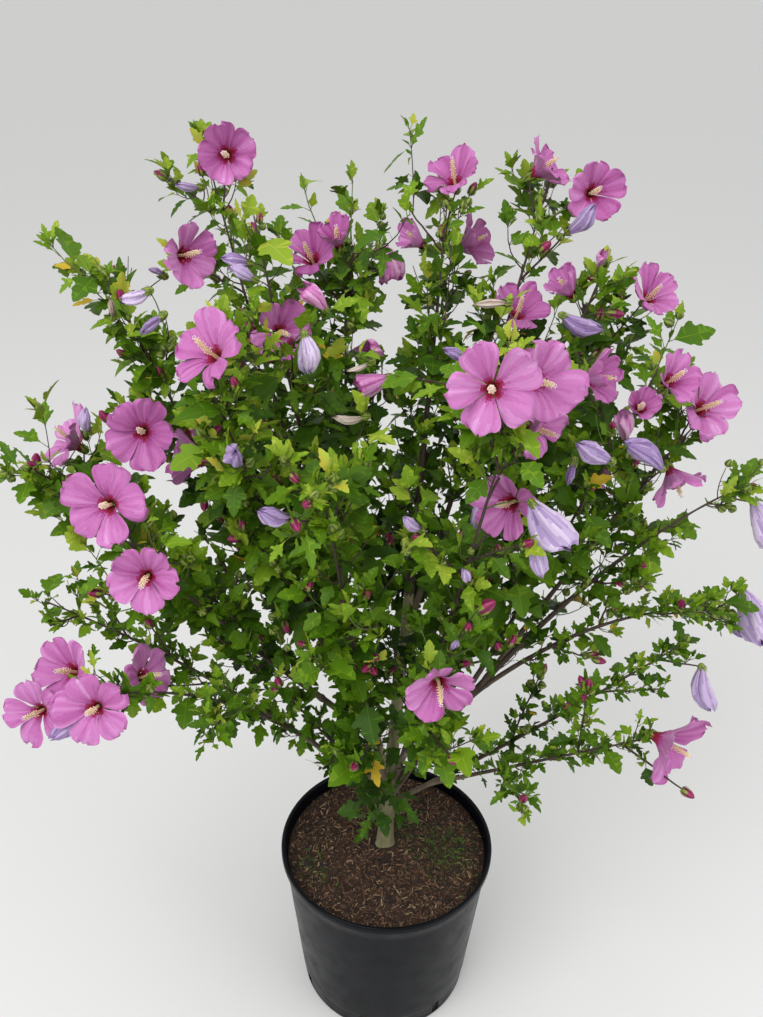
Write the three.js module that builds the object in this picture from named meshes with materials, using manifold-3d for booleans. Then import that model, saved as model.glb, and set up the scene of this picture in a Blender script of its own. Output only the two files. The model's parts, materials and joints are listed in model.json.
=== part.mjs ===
// Hibiscus shrub in a round nursery pot.
// Millimetres, +Z up, origin at the middle of the pot's underside, -Y is the front.
// The trunk forks just above the soil into long thin boughs. Each bough ends where a
// mass of twigs, leaves and blooms begins, and each mass keeps to its own space.

import * as THREE from 'three';
import { mergeVertices } from 'three/addons/utils/BufferGeometryUtils.js';
import Module from 'manifold-3d';

const wasm = await Module();
wasm.setup();

const GAP = 0.3; // clearance between neighbouring solids
const GOLDEN_TURN = THREE.MathUtils.degToRad(137.5);

const POT = {
  rim: 180, // outer radius of the rolled lip
  lipHeight: 13,
  lipStep: 6, // how far the lip stands out from the wall
  foot: 146, // outer radius at the foot
  height: 305,
  wall: 3,
  floor: 4,
  slots: 7,
  slotWidth: 13,
  slotHeight: 30,
  slotDepth: 24,
  slotRise: 5, // height of the slots' lower ends
  slotTurn: -0.23, // turn of the first slot from the front, in radians
  footEdge: 3, // bevel round the foot
  lipEdge: 2, // bevel round the lip
  lipWidth: 5,
  sides: 32,
};
const SOIL = { top: 283, crown: 2, flat: 40 };
const TRUNK = {
  foot: [-3, 12],
  head: [1, 14],
  height: 142,
  footRadius: 13.5,
  headRadius: 13,
  flare: 2.5, // extra radius of the root flare at the soil
  flareFade: 14, // height over which the flare dies away
  ridges: 3, // low ridges that run up from the root flare
  ridgeHeight: 0.12, // as a share of the radius
  domeFrom: 0.88, // share of the height at which the head starts to round off
  sides: 12,
  rings: 9,
};
const LIMB_TIP_RADIUS = 2.2;
const LIMB_TAPER = 0.85; // power by which a limb thins towards its tip
const LEAF = {
  length: 88,
  width: 60,
  thickness: 2,
  sink: 0.3, // depth of its root in the twig
  shoulder: 0.08, // share of its length by which its widest line is short of the middle
  stemStep: 170, // spacing of the leaves on a stem itself
  sizes: [1, 0.9, 0.8, 0.7], // tried in this order until one finds room
  along: [0.4, 0.8], // how much it points along its twig, out from it and up
  out: [0.6, 1],
  up: [-0.25, 0.2],
  tilt: [[-0.35, 0.35], [-0.5, 0.2]], // lean of its upper side
  spread: [0.85, 1.05], // its length against its size
};
const TWIG = {
  spacing: 92,
  reach: 170,
  root: 2.3, // radius at the root
  tip: 2.1,
  leafStep: 35,
  along: 0.6, // how far it runs along its stem, out from it and up, for its length
  out: 0.75,
  up: 0.15,
  first: 0.7, // room before the first twig of a stem, and in all, as shares of a spacing
  spare: 0.4,
  taper: 0.5, // share by which the last twig is shorter than the first
  chance: [0.8, 1.15],
  sizes: [1, 0.78, 0.58, 0.4],
  wilted: 0.2, // shares of the twigs that end in a wilted bloom, and in that or a bud
  budded: 0.5,
};
const LEAVES_FROM = 0.2; // share of a twig at its first leaf, and at its last
const LEAVES_TO = 0.92;
const LEAF_ROOM = 12; // least distance between two leaves of a mass
const BLOOM = {
  spread: 92, // across the open petals
  notch: 0.93, // share of its radius that the rim keeps between two petals
  tube: 24, // depth of the tube behind the open petals
  cup: 10, // how far the rim stands before the middle
  column: 30,
  throat: [8, -4], // radius and height of the ring between the petals and the column
  sink: 2, // depth of its base in the twig
  depth: 12, // thickness of the room that a bloom keeps to itself
  wilted: 52, // length of a wilted bloom, then of a bud
  wiltedRadius: 11,
  bud: 22,
  budRadius: 6,
  closedRoom: 12, // room taken by a wilted bloom or a bud
  twigRadius: 2.5,
  twigFall: 70, // how far below a bloom the stem is sought that carries it
  twigsFrom: 0.06, // share past the bough at which the first such twig may leave, then the last
  twigsTo: 0.97,
};
const SEEDS = { blooms: 500, stem: 800, tip: 900 }; // of the leaves on flowering twigs, stem and tip
const GROUND_ROOM = 40; // least height of foliage beside the pot
const POT_ROOM = 10; // room kept over and beside the pot's rim
const SPACE_MARGIN = 3; // room kept at the border between two masses
const LIMB_MARGIN = 3.5; // room kept round the bare limbs
const BLOOM_ROOM = 34; // room kept round the middle of a bloom

// Each limb leaves another at a share of that one's bare length and runs to its tip.
// Lift raises the middle of its curve, girth is its radius at the root, and bare is
// the share of it that is a bough, before its foliage starts. Extra is the number of
// blooms that its own twigs carry besides those in BLOOMS.
const LIMBS = [
  // name, leaves, at share, tip, lift, girth, bare, extra
  ['leader_left', 'trunk', 1.0, [-200, 170, 1310], -60, 9.5, 0.4, 0],
  ['leader_right', 'trunk', 0.94, [70, 290, 1310], -80, 11, 0.4, 0],
  ['right', 'trunk', 0.86, [490, 60, 960], 150, 6.5, 0.32, 0],
  ['low_left', 'trunk', 0.8, [-490, -50, 820], 70, 5, 0.2, 0],
  ['low_right', 'trunk', 0.68, [430, -20, 745], -20, 4.5, 0.2, 0],
  ['front_left', 'trunk', 0.95, [-90, -170, 1080], -60, 5.5, 0.16, 0],
  ['front_right', 'trunk', 0.84, [130, -140, 1150], -60, 6, 0.2, 0],
  ['left', 'leader_left', 0.3, [-490, 40, 1000], -50, 5.5, 0.2, 0],
  ['upper_left', 'leader_left', 0.52, [-400, 120, 1240], -90, 5.5, 0.18, 1],
  ['left_inner', 'leader_left', 0.42, [-235, -70, 1170], -60, 5, 0.18, 0],
  ['high_left', 'leader_left', 0.8, [-270, 250, 1360], -50, 5, 0.16, 0],
  ['high_mid', 'leader_left', 0.92, [-80, 290, 1240], -60, 5, 0.16, 0],
  ['left_front', 'left', 0.9, [-340, -140, 980], -20, 4.5, 0.2, 0],
  ['low_left_front', 'low_left', 0.82, [-370, -200, 780], 100, 4, 0.2, 0],
  ['low_right_front', 'low_right', 0.8, [365, -150, 680], 0, 3.5, 0.22, 0],
  ['front_low', 'front_right', 0.75, [60, -190, 800], -20, 4, 0.22, 0],
  ['high_right', 'leader_right', 0.8, [220, 290, 1360], -60, 5.5, 0.16, 0],
  ['upper_right', 'leader_right', 0.5, [290, 190, 1240], -60, 5.5, 0.18, 0],
  ['right_upper', 'right', 0.56, [350, 60, 1140], -40, 4.5, 0.2, 0],
  ['right_mid', 'right', 0.95, [440, 100, 1060], 30, 4.5, 0.18, 0],
  ['right_low', 'right', 0.79, [490, 0, 790], 110, 4, 0.2, 0],
  ['back_left', 'leader_left', 0.25, [-290, 330, 1040], -40, 5.5, 0.18, 3],
  ['back_right', 'leader_right', 0.28, [300, 330, 1040], -40, 5.5, 0.18, 3],
  ['back_low', 'leader_right', 0.16, [20, 370, 830], 30, 4.5, 0.2, 3],
  ['fork_left', 'trunk', 0.9, [-160, -70, 690], -20, 3.5, 0.25, 0],
  ['fork_right', 'trunk', 0.74, [90, -70, 660], -20, 3.5, 0.25, 0],
].map(([name, from, at, tip, lift, girth, bare, extra]) => (
  { name, from, at, tip, lift, girth, bare, extra }));

// Blooms that show from a step away: the mass that carries each, the place of its
// middle, and the heading and rise, in degrees, of the way it faces. -90 is the front.
const BLOOMS = [
  // mass, middle, heading, rise, stage
  ['high_left', [-240, 220, 1380], -80, 8, 'open'],
  ['high_left', [-290, 150, 1260], -75, 15, 'open'],
  ['left_inner', [-230, -70, 1200], -130, 40, 'open'],
  ['leader_left', [-160, 100, 1170], -75, 20, 'open'],
  ['high_mid', [-130, 240, 1240], -110, 50, 'open'],
  ['high_mid', [-40, 310, 1220], 0, 65, 'bud'],
  ['upper_left', [-340, 0, 1060], -85, 18, 'open'],
  ['left', [-460, 60, 1020], -160, 45, 'open'],
  ['left_inner', [-270, -10, 1030], 175, 10, 'open'],
  ['leader_right', [80, 330, 1340], -120, 60, 'open'],
  ['leader_right', [110, 330, 1240], -20, 30, 'open'],
  ['high_right', [205, 290, 1360], -20, 40, 'open'],
  ['high_right', [280, 270, 1330], -85, 12, 'open'],
  ['back_right', [390, 280, 1180], -60, 45, 'open'],
  ['high_right', [180, 220, 1170], -60, 60, 'open'],
  ['front_right', [100, -180, 1200], -95, 15, 'open'],
  ['front_right', [165, -110, 1185], -65, 20, 'open'],
  ['front_right', [180, -60, 1100], -45, 0, 'open'],
  ['front_right', [140, -90, 1010], -130, 10, 'open'],
  ['front_right', [175, -130, 985], -70, -60, 'wilted'],
  ['right_upper', [265, 50, 1130], -40, 20, 'open'],
  ['right_upper', [370, 50, 1130], -60, 40, 'open'],
  ['right_mid', [440, 100, 1070], -60, 35, 'open'],
  ['right_mid', [400, 60, 975], -60, -40, 'open'],
  ['right', [520, 60, 940], -40, -45, 'wilted'],
  ['right_low', [525, 40, 800], -30, -30, 'wilted'],
  ['low_right', [460, -30, 710], -40, -65, 'wilted'],
  ['low_right_front', [380, -175, 690], -60, 10, 'open'],
  ['front_low', [60, -200, 800], -85, 0, 'open'],
  ['left_front', [-360, -130, 1020], -95, 25, 'open'],
  ['left_front', [-310, -170, 940], -90, 20, 'open'],
  ['low_left_front', [-480, -170, 720], -100, 25, 'open'],
  ['low_left_front', [-380, -225, 775], -90, 25, 'open'],
  ['low_left_front', [-440, -140, 770], -120, 40, 'open'],
  ['low_left', [-340, -110, 740], -20, 30, 'open'],
].map(([on, at, heading, rise, stage]) => ({ on, at, heading, rise, stage }));

const MATERIALS = {
  pot: new THREE.MeshStandardMaterial({ color: 0x14171c, roughness: 0.45, metalness: 0 }),
  soil: new THREE.MeshStandardMaterial({ color: 0x3a2d22, roughness: 0.95, metalness: 0 }),
  bark: new THREE.MeshStandardMaterial({ color: 0x7b7059, roughness: 0.85, metalness: 0 }),
  foliage: new THREE.MeshStandardMaterial({ color: 0x4d7a28, roughness: 0.7, metalness: 0 }),
};

// Seeded whole-number generator, the same on every machine.
function dice(seed) {
  let state = (seed * 7919 + 104729) % 2147483647;
  const roll = () => {
    state = (state * 48271) % 2147483647;
    return state / 2147483647;
  };
  roll();
  return (low, high) => low + (high - low) * roll();
}

// A three.js geometry as index and corners, without the collapsed triangles of a
// lathe's poles, and with its faces pointing out.
function cornersAndFaces(geometry) {
  geometry.deleteAttribute('normal');
  geometry.deleteAttribute('uv');
  const merged = mergeVertices(geometry, 1e-4);
  const corners = merged.attributes.position.array;
  const index = merged.index.array;
  const faces = [];
  for (let i = 0; i < index.length; i += 3) {
    const [a, b, c] = [index[i], index[i + 1], index[i + 2]];
    if (a !== b && b !== c && c !== a) {
      faces.push([a, b, c]);
    }
  }
  if (volumeOf(corners, faces) < 0) {
    faces.forEach((face) => face.reverse());
  }
  return { corners, faces };
}

function volumeOf(corners, faces) {
  const at = (i) => new THREE.Vector3(...corners.slice(3 * i, 3 * i + 3));
  let total = 0;
  for (const [a, b, c] of faces) {
    total += at(a).dot(at(b).cross(at(c))) / 6;
  }
  return total;
}

function solidOf(geometry) {
  const { corners, faces } = cornersAndFaces(geometry);
  return new wasm.Manifold(new wasm.Mesh({
    numProp: 3,
    vertProperties: Float32Array.from(corners),
    triVerts: Uint32Array.from(faces.flat()),
  }));
}

// Joins solids two by two.
function joinAll(solids) {
  let row = solids;
  while (row.length > 1) {
    const next = [];
    for (let i = 0; i < row.length; i += 2) {
      next.push(i + 1 < row.length ? row[i].add(row[i + 1]) : row[i]);
    }
    row = next;
  }
  return row[0];
}

// The largest closed shell of a solid: loose scraps go, and sealed hollows are filled.
function largestShell(solid) {
  const mesh = solid.getMesh();
  const leader = Array.from({ length: mesh.vertProperties.length / 3 }, (_, i) => i);
  const find = (i) => {
    while (leader[i] !== i) {
      leader[i] = leader[leader[i]];
      i = leader[i];
    }
    return i;
  };
  const faces = [];
  for (let i = 0; i < mesh.triVerts.length; i += 3) {
    const face = Array.from(mesh.triVerts.slice(i, i + 3));
    faces.push(face);
    leader[find(face[1])] = find(face[0]);
    leader[find(face[2])] = find(face[0]);
  }
  const shells = new Map();
  for (const face of faces) {
    const key = find(face[0]);
    shells.set(key, [...(shells.get(key) ?? []), face]);
  }
  const sized = [...shells.values()].map((shell) => [volumeOf(mesh.vertProperties, shell), shell]);
  sized.sort((one, other) => other[0] - one[0]);
  const geometry = new THREE.BufferGeometry();
  geometry.setAttribute('position', new THREE.BufferAttribute(Float32Array.from(mesh.vertProperties), 3));
  geometry.setIndex(sized[0][1].flat());
  return geometry;
}

// Bezier curve with one bend, with the vector that all its sections share.
function bentLine(start, bend, end) {
  const curve = new THREE.QuadraticBezierCurve3(start, bend, end);
  const chord = end.clone().sub(start);
  curve.side = chord.clone().cross(bend.clone().sub(start));
  if (curve.side.length() < 1e-3 * chord.lengthSq()) {
    curve.side = chord.clone().cross(new THREE.Vector3(0.3, 1, 0.1));
  }
  curve.side.normalize();
  return curve;
}

const straightLine = (start, end) => bentLine(start, start.clone().lerp(end, 0.5), end);

// Tapered tube with flat ends: a cylinder whose rings are carried along a curve.
// `swell` makes it that much fatter and longer all round.
function taperedTube(curve, from, to, radiusAt, sides, rings, swell = 0) {
  const geometry = new THREE.CylinderGeometry(1, 1, 1, sides, rings, true);
  const index = Array.from(geometry.index.array);
  const lastRow = rings * (sides + 1);
  for (let i = 1; i < sides - 1; i++) {
    index.push(0, i, i + 1, lastRow, lastRow + i + 1, lastRow + i);
  }
  geometry.setIndex(index);
  const spots = geometry.attributes.position;
  for (let i = 0; i < spots.count; i++) {
    const share = spots.getY(i) + 0.5;
    const t = from + (to - from) * share;
    const along = curve.getTangent(t);
    const across = along.clone().cross(curve.side);
    const radius = radiusAt(t) + swell;
    const turn = Math.atan2(spots.getZ(i), spots.getX(i));
    const spot = curve.getPoint(t)
      .addScaledVector(curve.side, radius * Math.cos(turn))
      .addScaledVector(across, radius * Math.sin(turn))
      .addScaledVector(along, share < 0.01 ? -swell : share > 0.99 ? swell : 0);
    spots.setXYZ(i, spot.x, spot.y, spot.z);
  }
  return geometry;
}

// Trunk: level rings from a flat cut at the soil, with a root flare, a slight lean
// and a rounded head where the boughs fork.
const TRUNK_FOOT = new THREE.Vector3(...TRUNK.foot, SOIL.top + SOIL.crown + GAP);
const TRUNK_HEAD = new THREE.Vector3(...TRUNK.head, TRUNK_FOOT.z + TRUNK.height);

function trunkRadius(share) {
  const flare = TRUNK.flare * Math.exp(-share * TRUNK.height / TRUNK.flareFade);
  const stem = THREE.MathUtils.lerp(TRUNK.footRadius, TRUNK.headRadius, share);
  const rounding = Math.max(0, (share - TRUNK.domeFrom) / (1 - TRUNK.domeFrom));
  const dome = Math.sqrt(Math.max(0.03, 1 - rounding ** 2));
  return (stem + flare) * dome;
}

function makeTrunk(swell = 0) {
  const geometry = new THREE.CylinderGeometry(1, 1, 1, TRUNK.sides, TRUNK.rings);
  const spots = geometry.attributes.position;
  for (let i = 0; i < spots.count; i++) {
    const share = spots.getY(i) + 0.5;
    const middle = TRUNK_FOOT.clone().lerp(TRUNK_HEAD, share);
    const turn = Math.atan2(spots.getZ(i), spots.getX(i));
    const ridge = 1 + TRUNK.ridgeHeight * Math.cos(TRUNK.ridges * turn + 1) * (1 - share) ** 3;
    const onAxis = Math.hypot(spots.getX(i), spots.getZ(i)) < 0.5;
    const radius = onAxis ? 0 : trunkRadius(share) * ridge + swell;
    const rise = share > 0.99 ? swell : 0;
    spots.setXYZ(i, middle.x + radius * Math.cos(turn), middle.y + radius * Math.sin(turn), middle.z + rise);
  }
  return geometry;
}

// Curves of all limbs, from the trunk outwards.
function limbRadius(limb, t) {
  return LIMB_TIP_RADIUS + (limb.girth - LIMB_TIP_RADIUS) * (1 - t) ** LIMB_TAPER;
}

const trunkAxis = bentLine(TRUNK_FOOT, TRUNK_FOOT.clone().lerp(TRUNK_HEAD, 0.5), TRUNK_HEAD);
const limbCurves = new Map([['trunk', { curve: trunkAxis, bare: 0.9 }]]);
LIMBS.forEach((limb, order) => {
  const parent = limbCurves.get(limb.from);
  const start = parent.curve.getPoint(parent.bare * limb.at);
  const tip = new THREE.Vector3(...limb.tip);
  const bend = start.clone().lerp(tip, 0.5);
  bend.z += limb.lift;
  limb.order = order;
  limb.curve = bentLine(start, bend, tip);
  limbCurves.set(limb.name, limb);
});

// Bones: straight pieces with a radius, which stand for a shape when its distance
// to a point is asked.
function bonesAlong(curve, from, to, radiusAt, count) {
  const bones = [];
  for (let i = 0; i < count; i++) {
    const [t, u] = [from + ((to - from) * i) / count, from + ((to - from) * (i + 1)) / count];
    bones.push({ start: curve.getPoint(t), end: curve.getPoint(u), radius: radiusAt(t) });
  }
  return bones;
}

const BONE_LINE = new THREE.Line3();
const BONE_SPOT = new THREE.Vector3();
function distanceTo(point, bones) {
  let nearest = Infinity;
  for (const bone of bones) {
    BONE_LINE.set(bone.start, bone.end);
    BONE_LINE.closestPointToPoint(point, true, BONE_SPOT);
    nearest = Math.min(nearest, BONE_SPOT.distanceTo(point) - bone.radius);
  }
  return nearest;
}

const limbBones = [
  { start: TRUNK_FOOT, end: TRUNK_HEAD, radius: TRUNK.footRadius },
  ...LIMBS.flatMap((limb) => bonesAlong(limb.curve, 0, limb.bare, (t) => limbRadius(limb, t), 6)),
];

// Way that a heading and a rise, in degrees, point.
function pointing(heading, rise) {
  const [h, r] = [THREE.MathUtils.degToRad(heading), THREE.MathUtils.degToRad(rise)];
  return new THREE.Vector3(Math.cos(h) * Math.cos(r), Math.sin(h) * Math.cos(r), Math.sin(r));
}

// A bloom in its mass: its place, way, and the flowering twig from the stem to it.
function placeBloom(limb, middle, way, stage) {
  const back = stage === 'open' ? BLOOM.tube : 0;
  const base = middle.clone().addScaledVector(way, -back);
  const below = base.clone().add(new THREE.Vector3(0, 0, -BLOOM.twigFall));
  let [rootShare, nearest] = [limb.bare, Infinity];
  for (let t = limb.bare + BLOOM.twigsFrom; t < BLOOM.twigsTo; t += 0.02) {
    const distance = limb.curve.getPoint(t).distanceTo(below);
    if (distance < nearest) {
      [rootShare, nearest] = [t, distance];
    }
  }
  const root = limb.curve.getPoint(rootShare);
  const twig = straightLine(root, base);
  const size = stage === 'open' ? BLOOM.spread / 2 : BLOOM.closedRoom;
  const bones = [
    ...bonesAlong(twig, 0, 1, () => BLOOM.twigRadius, 3),
    { start: middle.clone(), end: middle.clone().addScaledVector(way, BLOOM.depth), radius: size + 2 },
  ];
  return { middle, way, stage, twig, bones };
}

for (const limb of LIMBS) {
  limb.blooms = BLOOMS.filter((row) => row.on === limb.name)
    .map((row) => placeBloom(limb, new THREE.Vector3(...row.at), pointing(row.heading, row.rise), row.stage));
  limb.bones = [
    ...bonesAlong(limb.curve, limb.bare, 1, (t) => limbRadius(limb, t), 7),
    ...limb.blooms.flatMap((bloom) => bloom.bones),
  ];
}

// True where every point lies in the limb's own space: nearer to its own bones than
// to any other mass's, clear of the bare limbs, and outside the pot.
function keepsToItsSpace(limb, points) {
  return points.every((point) => {
    const own = distanceTo(point, limb.bones) + SPACE_MARGIN;
    const overPot = Math.hypot(point.x, point.y) < POT.rim + POT_ROOM;
    if (point.z < (overPot ? POT.height + POT_ROOM : GROUND_ROOM)) {
      return false;
    }
    if (distanceTo(point, limbBones) < LIMB_MARGIN) {
      return false;
    }
    return LIMBS.every((other) => other === limb || distanceTo(point, other.bones) > own);
  });
}

const clearOfBlooms = (limb, points, room) => points.every((point) => (
  limb.blooms.every((bloom) => bloom.middle.distanceTo(point) > room)));

// Frame whose first axis is `along` and whose third axis is as near `up` as can be.
function frameAlong(along, up, place) {
  const side = up.clone().cross(along).normalize();
  const top = along.clone().cross(side);
  return new THREE.Matrix4().makeBasis(along, side, top).setPosition(place);
}

// One leaf: a thin blade of four faces, with its midrib on one side and its widest
// line on the other. Its root is sunk in the twig.
function makeLeaf(leaf) {
  const geometry = new THREE.TetrahedronGeometry(Math.sqrt(1.5)).rotateZ(-Math.PI / 4);
  const spots = geometry.attributes.position;
  for (let i = 0; i < spots.count; i++) {
    const onMidrib = Math.abs(spots.getX(i)) > 0.5;
    spots.setX(i, spots.getX(i) + 1 - (onMidrib ? 0 : 2 * LEAF.shoulder));
  }
  geometry.scale(leaf.length / 2, (leaf.length * LEAF.width) / LEAF.length / 2, LEAF.thickness / Math.SQRT2);
  geometry.translate(-LEAF.sink, 0, 0);
  return geometry.applyMatrix4(leaf.frame);
}

function leafPoints(leaf) {
  const half = (leaf.length * LEAF.width) / LEAF.length / 2;
  const widest = leaf.length * (0.5 - LEAF.shoulder) - LEAF.sink;
  const spots = [[widest, half], [widest, -half], [leaf.length, 0], [leaf.length * 0.7, half * 0.45],
    [leaf.length * 0.7, -half * 0.45], [widest, half * 0.5], [widest, -half * 0.5], [widest, 0]];
  return spots.map(([x, y]) => new THREE.Vector3(x, y, 0).applyMatrix4(leaf.frame));
}

// A leaf some way along a twig, in turn on its three faces.
function leafOn(curve, share, rank, size, roll) {
  const along = curve.getTangent(share);
  const turn = (rank * 2 * Math.PI) / 3 + Math.PI / 6 + roll(-0.3, 0.3);
  const out = curve.side.clone().applyAxisAngle(along, turn);
  const way = along.clone().multiplyScalar(roll(...LEAF.along)).addScaledVector(out, roll(...LEAF.out));
  way.z += roll(...LEAF.up);
  way.normalize();
  const up = new THREE.Vector3(roll(...LEAF.tilt[0]), roll(...LEAF.tilt[1]), 1);
  const length = LEAF.length * size * roll(...LEAF.spread);
  return { length, frame: frameAlong(way, up, curve.getPoint(share)) };
}

// Open bloom: a shallow funnel with a five-petalled rim and its column, about +Y.
function openBloom() {
  const half = BLOOM.spread / 2;
  const profile = [
    [0, -BLOOM.tube - BLOOM.sink],
    [half, BLOOM.cup],
    BLOOM.throat,
    [0, BLOOM.column],
  ].map(([r, h]) => new THREE.Vector2(r, h));
  const geometry = new THREE.LatheGeometry(profile, 10);
  const spots = geometry.attributes.position;
  for (let i = 0; i < spots.count; i++) {
    const radius = Math.hypot(spots.getX(i), spots.getZ(i));
    if (radius > half - 1) {
      const turn = Math.round(Math.atan2(spots.getX(i), spots.getZ(i)) / (Math.PI / 5));
      const trim = turn % 2 ? BLOOM.notch : 1;
      spots.setX(i, spots.getX(i) * trim);
      spots.setZ(i, spots.getZ(i) * trim);
    }
  }
  return geometry;
}

// Wilted bloom: a folded spindle. Bud: a short pointed one.
function spindle(length, radius, sides) {
  const profile = [[0, -3], [radius * 0.8, length * 0.25], [radius, length * 0.6], [0, length]];
  return new THREE.LatheGeometry(profile.map(([r, h]) => new THREE.Vector2(r, h)), sides);
}

function makeBloom(bloom) {
  const geometry = {
    open: openBloom,
    wilted: () => spindle(BLOOM.wilted, BLOOM.wiltedRadius, 4),
    bud: () => spindle(BLOOM.bud, BLOOM.budRadius, 4),
  }[bloom.stage]();
  const turn = new THREE.Quaternion().setFromUnitVectors(new THREE.Vector3(0, 1, 0), bloom.way);
  return geometry.applyQuaternion(turn).translate(...bloom.middle.toArray());
}

function bloomPoints(bloom) {
  if (bloom.stage !== 'open') {
    const length = bloom.stage === 'wilted' ? BLOOM.wilted : BLOOM.bud;
    return [0.3, 0.65, 1].map((share) => bloom.middle.clone().addScaledVector(bloom.way, length * share));
  }
  const turn = new THREE.Quaternion().setFromUnitVectors(new THREE.Vector3(0, 1, 0), bloom.way);
  const points = [bloom.middle.clone().addScaledVector(bloom.way, BLOOM.column)];
  for (let i = 0; i < 10; i++) {
    const angle = (i * Math.PI) / 5;
    for (const reach of [BLOOM.spread / 2, BLOOM.spread / 4]) {
      const spot = new THREE.Vector3(Math.sin(angle) * reach, BLOOM.cup * 0.6, Math.cos(angle) * reach);
      points.push(spot.applyQuaternion(turn).add(bloom.middle));
    }
  }
  return points;
}

// That many shares, evenly from one to another.
const evenly = (count, from, to) => Array.from({ length: count }, (_, i) => (
  count === 1 ? (from + to) / 2 : from + ((to - from) * i) / (count - 1)));

const pointsAlong = (curve, from, count) => Array.from({ length: count }, (_, i) => (
  curve.getPoint(from + ((1 - from) * (i + 1)) / count)));

// Twigs of one mass, branching from its stem by the golden angle. A twig that would
// leave the mass's space is shortened, and left out where the shortest still would.
function twigsOf(limb) {
  const stemLength = limb.curve.getLength() * (1 - limb.bare);
  const count = Math.round(stemLength / TWIG.spacing);
  const twigs = [];
  for (let i = 0; i < count; i++) {
    const roll = dice(limb.order * 1000 + i);
    const share = (i + TWIG.first) / (count + TWIG.spare);
    const t = limb.bare + (1 - limb.bare) * share;
    const start = limb.curve.getPoint(t);
    const along = limb.curve.getTangent(t);
    const out = limb.curve.side.clone().applyAxisAngle(along, limb.order + i * GOLDEN_TURN);
    const fullLength = TWIG.reach * (1 - TWIG.taper * share) * roll(...TWIG.chance);
    for (const cut of TWIG.sizes) {
      const end = start.clone().addScaledVector(along, fullLength * cut * TWIG.along)
        .addScaledVector(out, fullLength * cut * TWIG.out);
      end.z += fullLength * cut * TWIG.up;
      const curve = straightLine(start, end);
      const points = pointsAlong(curve, 0.15, 6);
      if (keepsToItsSpace(limb, points) && clearOfBlooms(limb, points, BLOOM_ROOM)) {
        twigs.push({ curve, roll, length: fullLength * cut });
        break;
      }
    }
  }
  return twigs;
}

function makeMass(limb, otherBoughs) {
  const { curve, bare } = limb;
  const start = bare + GAP / curve.getLength();
  const solids = [taperedTube(curve, start, 1, (t) => limbRadius(limb, t), 4, 4)];
  const taken = [];
  const isFree = (points) => points.every((point) => (
    taken.every((spot) => spot.distanceTo(point) > LEAF_ROOM)));
  const twigRadius = (t) => THREE.MathUtils.lerp(TWIG.root, TWIG.tip, t);
  const addLeaves = (twig, roll, shares) => {
    for (const [rank, share] of shares.entries()) {
      for (const size of LEAF.sizes) {
        const leaf = leafOn(twig, share, rank, size, roll);
        const points = leafPoints(leaf);
        if (isFree(points) && keepsToItsSpace(limb, points) && clearOfBlooms(limb, points, BLOOM_ROOM)) {
          solids.push(makeLeaf(leaf));
          taken.push(...points);
          break;
        }
      }
    }
  };
  for (const bloom of limb.blooms) {
    solids.push(makeBloom(bloom), taperedTube(bloom.twig, 0, 1, () => TWIG.root, 3, 1));
    addLeaves(bloom.twig, dice(limb.order * 1000 + SEEDS.blooms + limb.blooms.indexOf(bloom)), [0.5]);
  }
  const twigs = twigsOf(limb);
  taken.push(...pointsAlong(curve, bare, 24), ...twigs.flatMap((twig) => pointsAlong(twig.curve, 0, 8)));
  let extra = limb.extra;
  for (const twig of twigs) {
    solids.push(taperedTube(twig.curve, 0, 1, twigRadius, 3, 1));
    const tip = twig.curve.getPoint(0.98);
    const way = twig.curve.getTangent(1);
    const luck = twig.roll(0, 1);
    const stages = [extra > 0 && 'open', luck < TWIG.wilted && 'wilted', luck < TWIG.budded && 'bud'];
    for (const stage of stages.filter(Boolean)) {
      const bloom = { middle: tip.clone(), way, stage };
      if (stage === 'open') {
        bloom.middle.addScaledVector(way, BLOOM.tube);
      }
      if (keepsToItsSpace(limb, bloomPoints(bloom)) && clearOfBlooms(limb, bloomPoints(bloom), BLOOM_ROOM)) {
        solids.push(makeBloom(bloom));
        extra -= stage === 'open' ? 1 : 0;
        break;
      }
    }
    const leafCount = Math.max(2, Math.round(twig.length / TWIG.leafStep));
    addLeaves(twig.curve, twig.roll, evenly(leafCount, LEAVES_FROM, LEAVES_TO));
  }
  const tipTwig = straightLine(curve.getPoint(0.9), curve.getPoint(1));
  addLeaves(tipTwig, dice(limb.order * 1000 + SEEDS.tip), evenly(3, LEAVES_FROM, LEAVES_TO));
  const stemLeaves = Math.round((curve.getLength() * (1 - bare)) / LEAF.stemStep);
  addLeaves(curve, dice(limb.order * 1000 + SEEDS.stem), evenly(stemLeaves, (1 + bare) / 2, 0.9));
  const mass = joinAll(solids.map(solidOf));
  return largestShell(otherBoughs.reduce((solid, bough) => solid.subtract(bough), mass));
}

// Pot: a thin tapered wall with a rolled lip, a flat floor and drain slots at its foot.
function makePot() {
  const { rim, lipHeight, lipStep, foot, height, wall, floor, footEdge, lipEdge, lipWidth } = POT;
  const bodyTop = rim - lipStep;
  const profile = [
    [0, 0],
    [foot - footEdge, 0],
    [foot, footEdge],
    [bodyTop, height - lipHeight - 1],
    [rim, height - lipHeight],
    [rim, height - lipEdge],
    [rim - lipEdge, height],
    [rim - lipWidth, height],
    [bodyTop - wall, height - lipHeight],
    [foot - wall, floor],
    [0, floor],
  ].map(([r, z]) => new THREE.Vector2(r, z));
  const lathe = new THREE.LatheGeometry(profile, POT.sides).rotateX(Math.PI / 2);
  let pot = solidOf(lathe);
  for (let i = 0; i < POT.slots; i++) {
    const slot = new THREE.BoxGeometry(POT.slotDepth, POT.slotWidth, POT.slotHeight);
    slot.translate(foot, 0, POT.slotHeight / 2 + POT.slotRise);
    slot.rotateZ((i * 2 * Math.PI) / POT.slots - Math.PI / 2 + POT.slotTurn);
    pot = pot.subtract(solidOf(slot));
  }
  return largestShell(pot);
}

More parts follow.
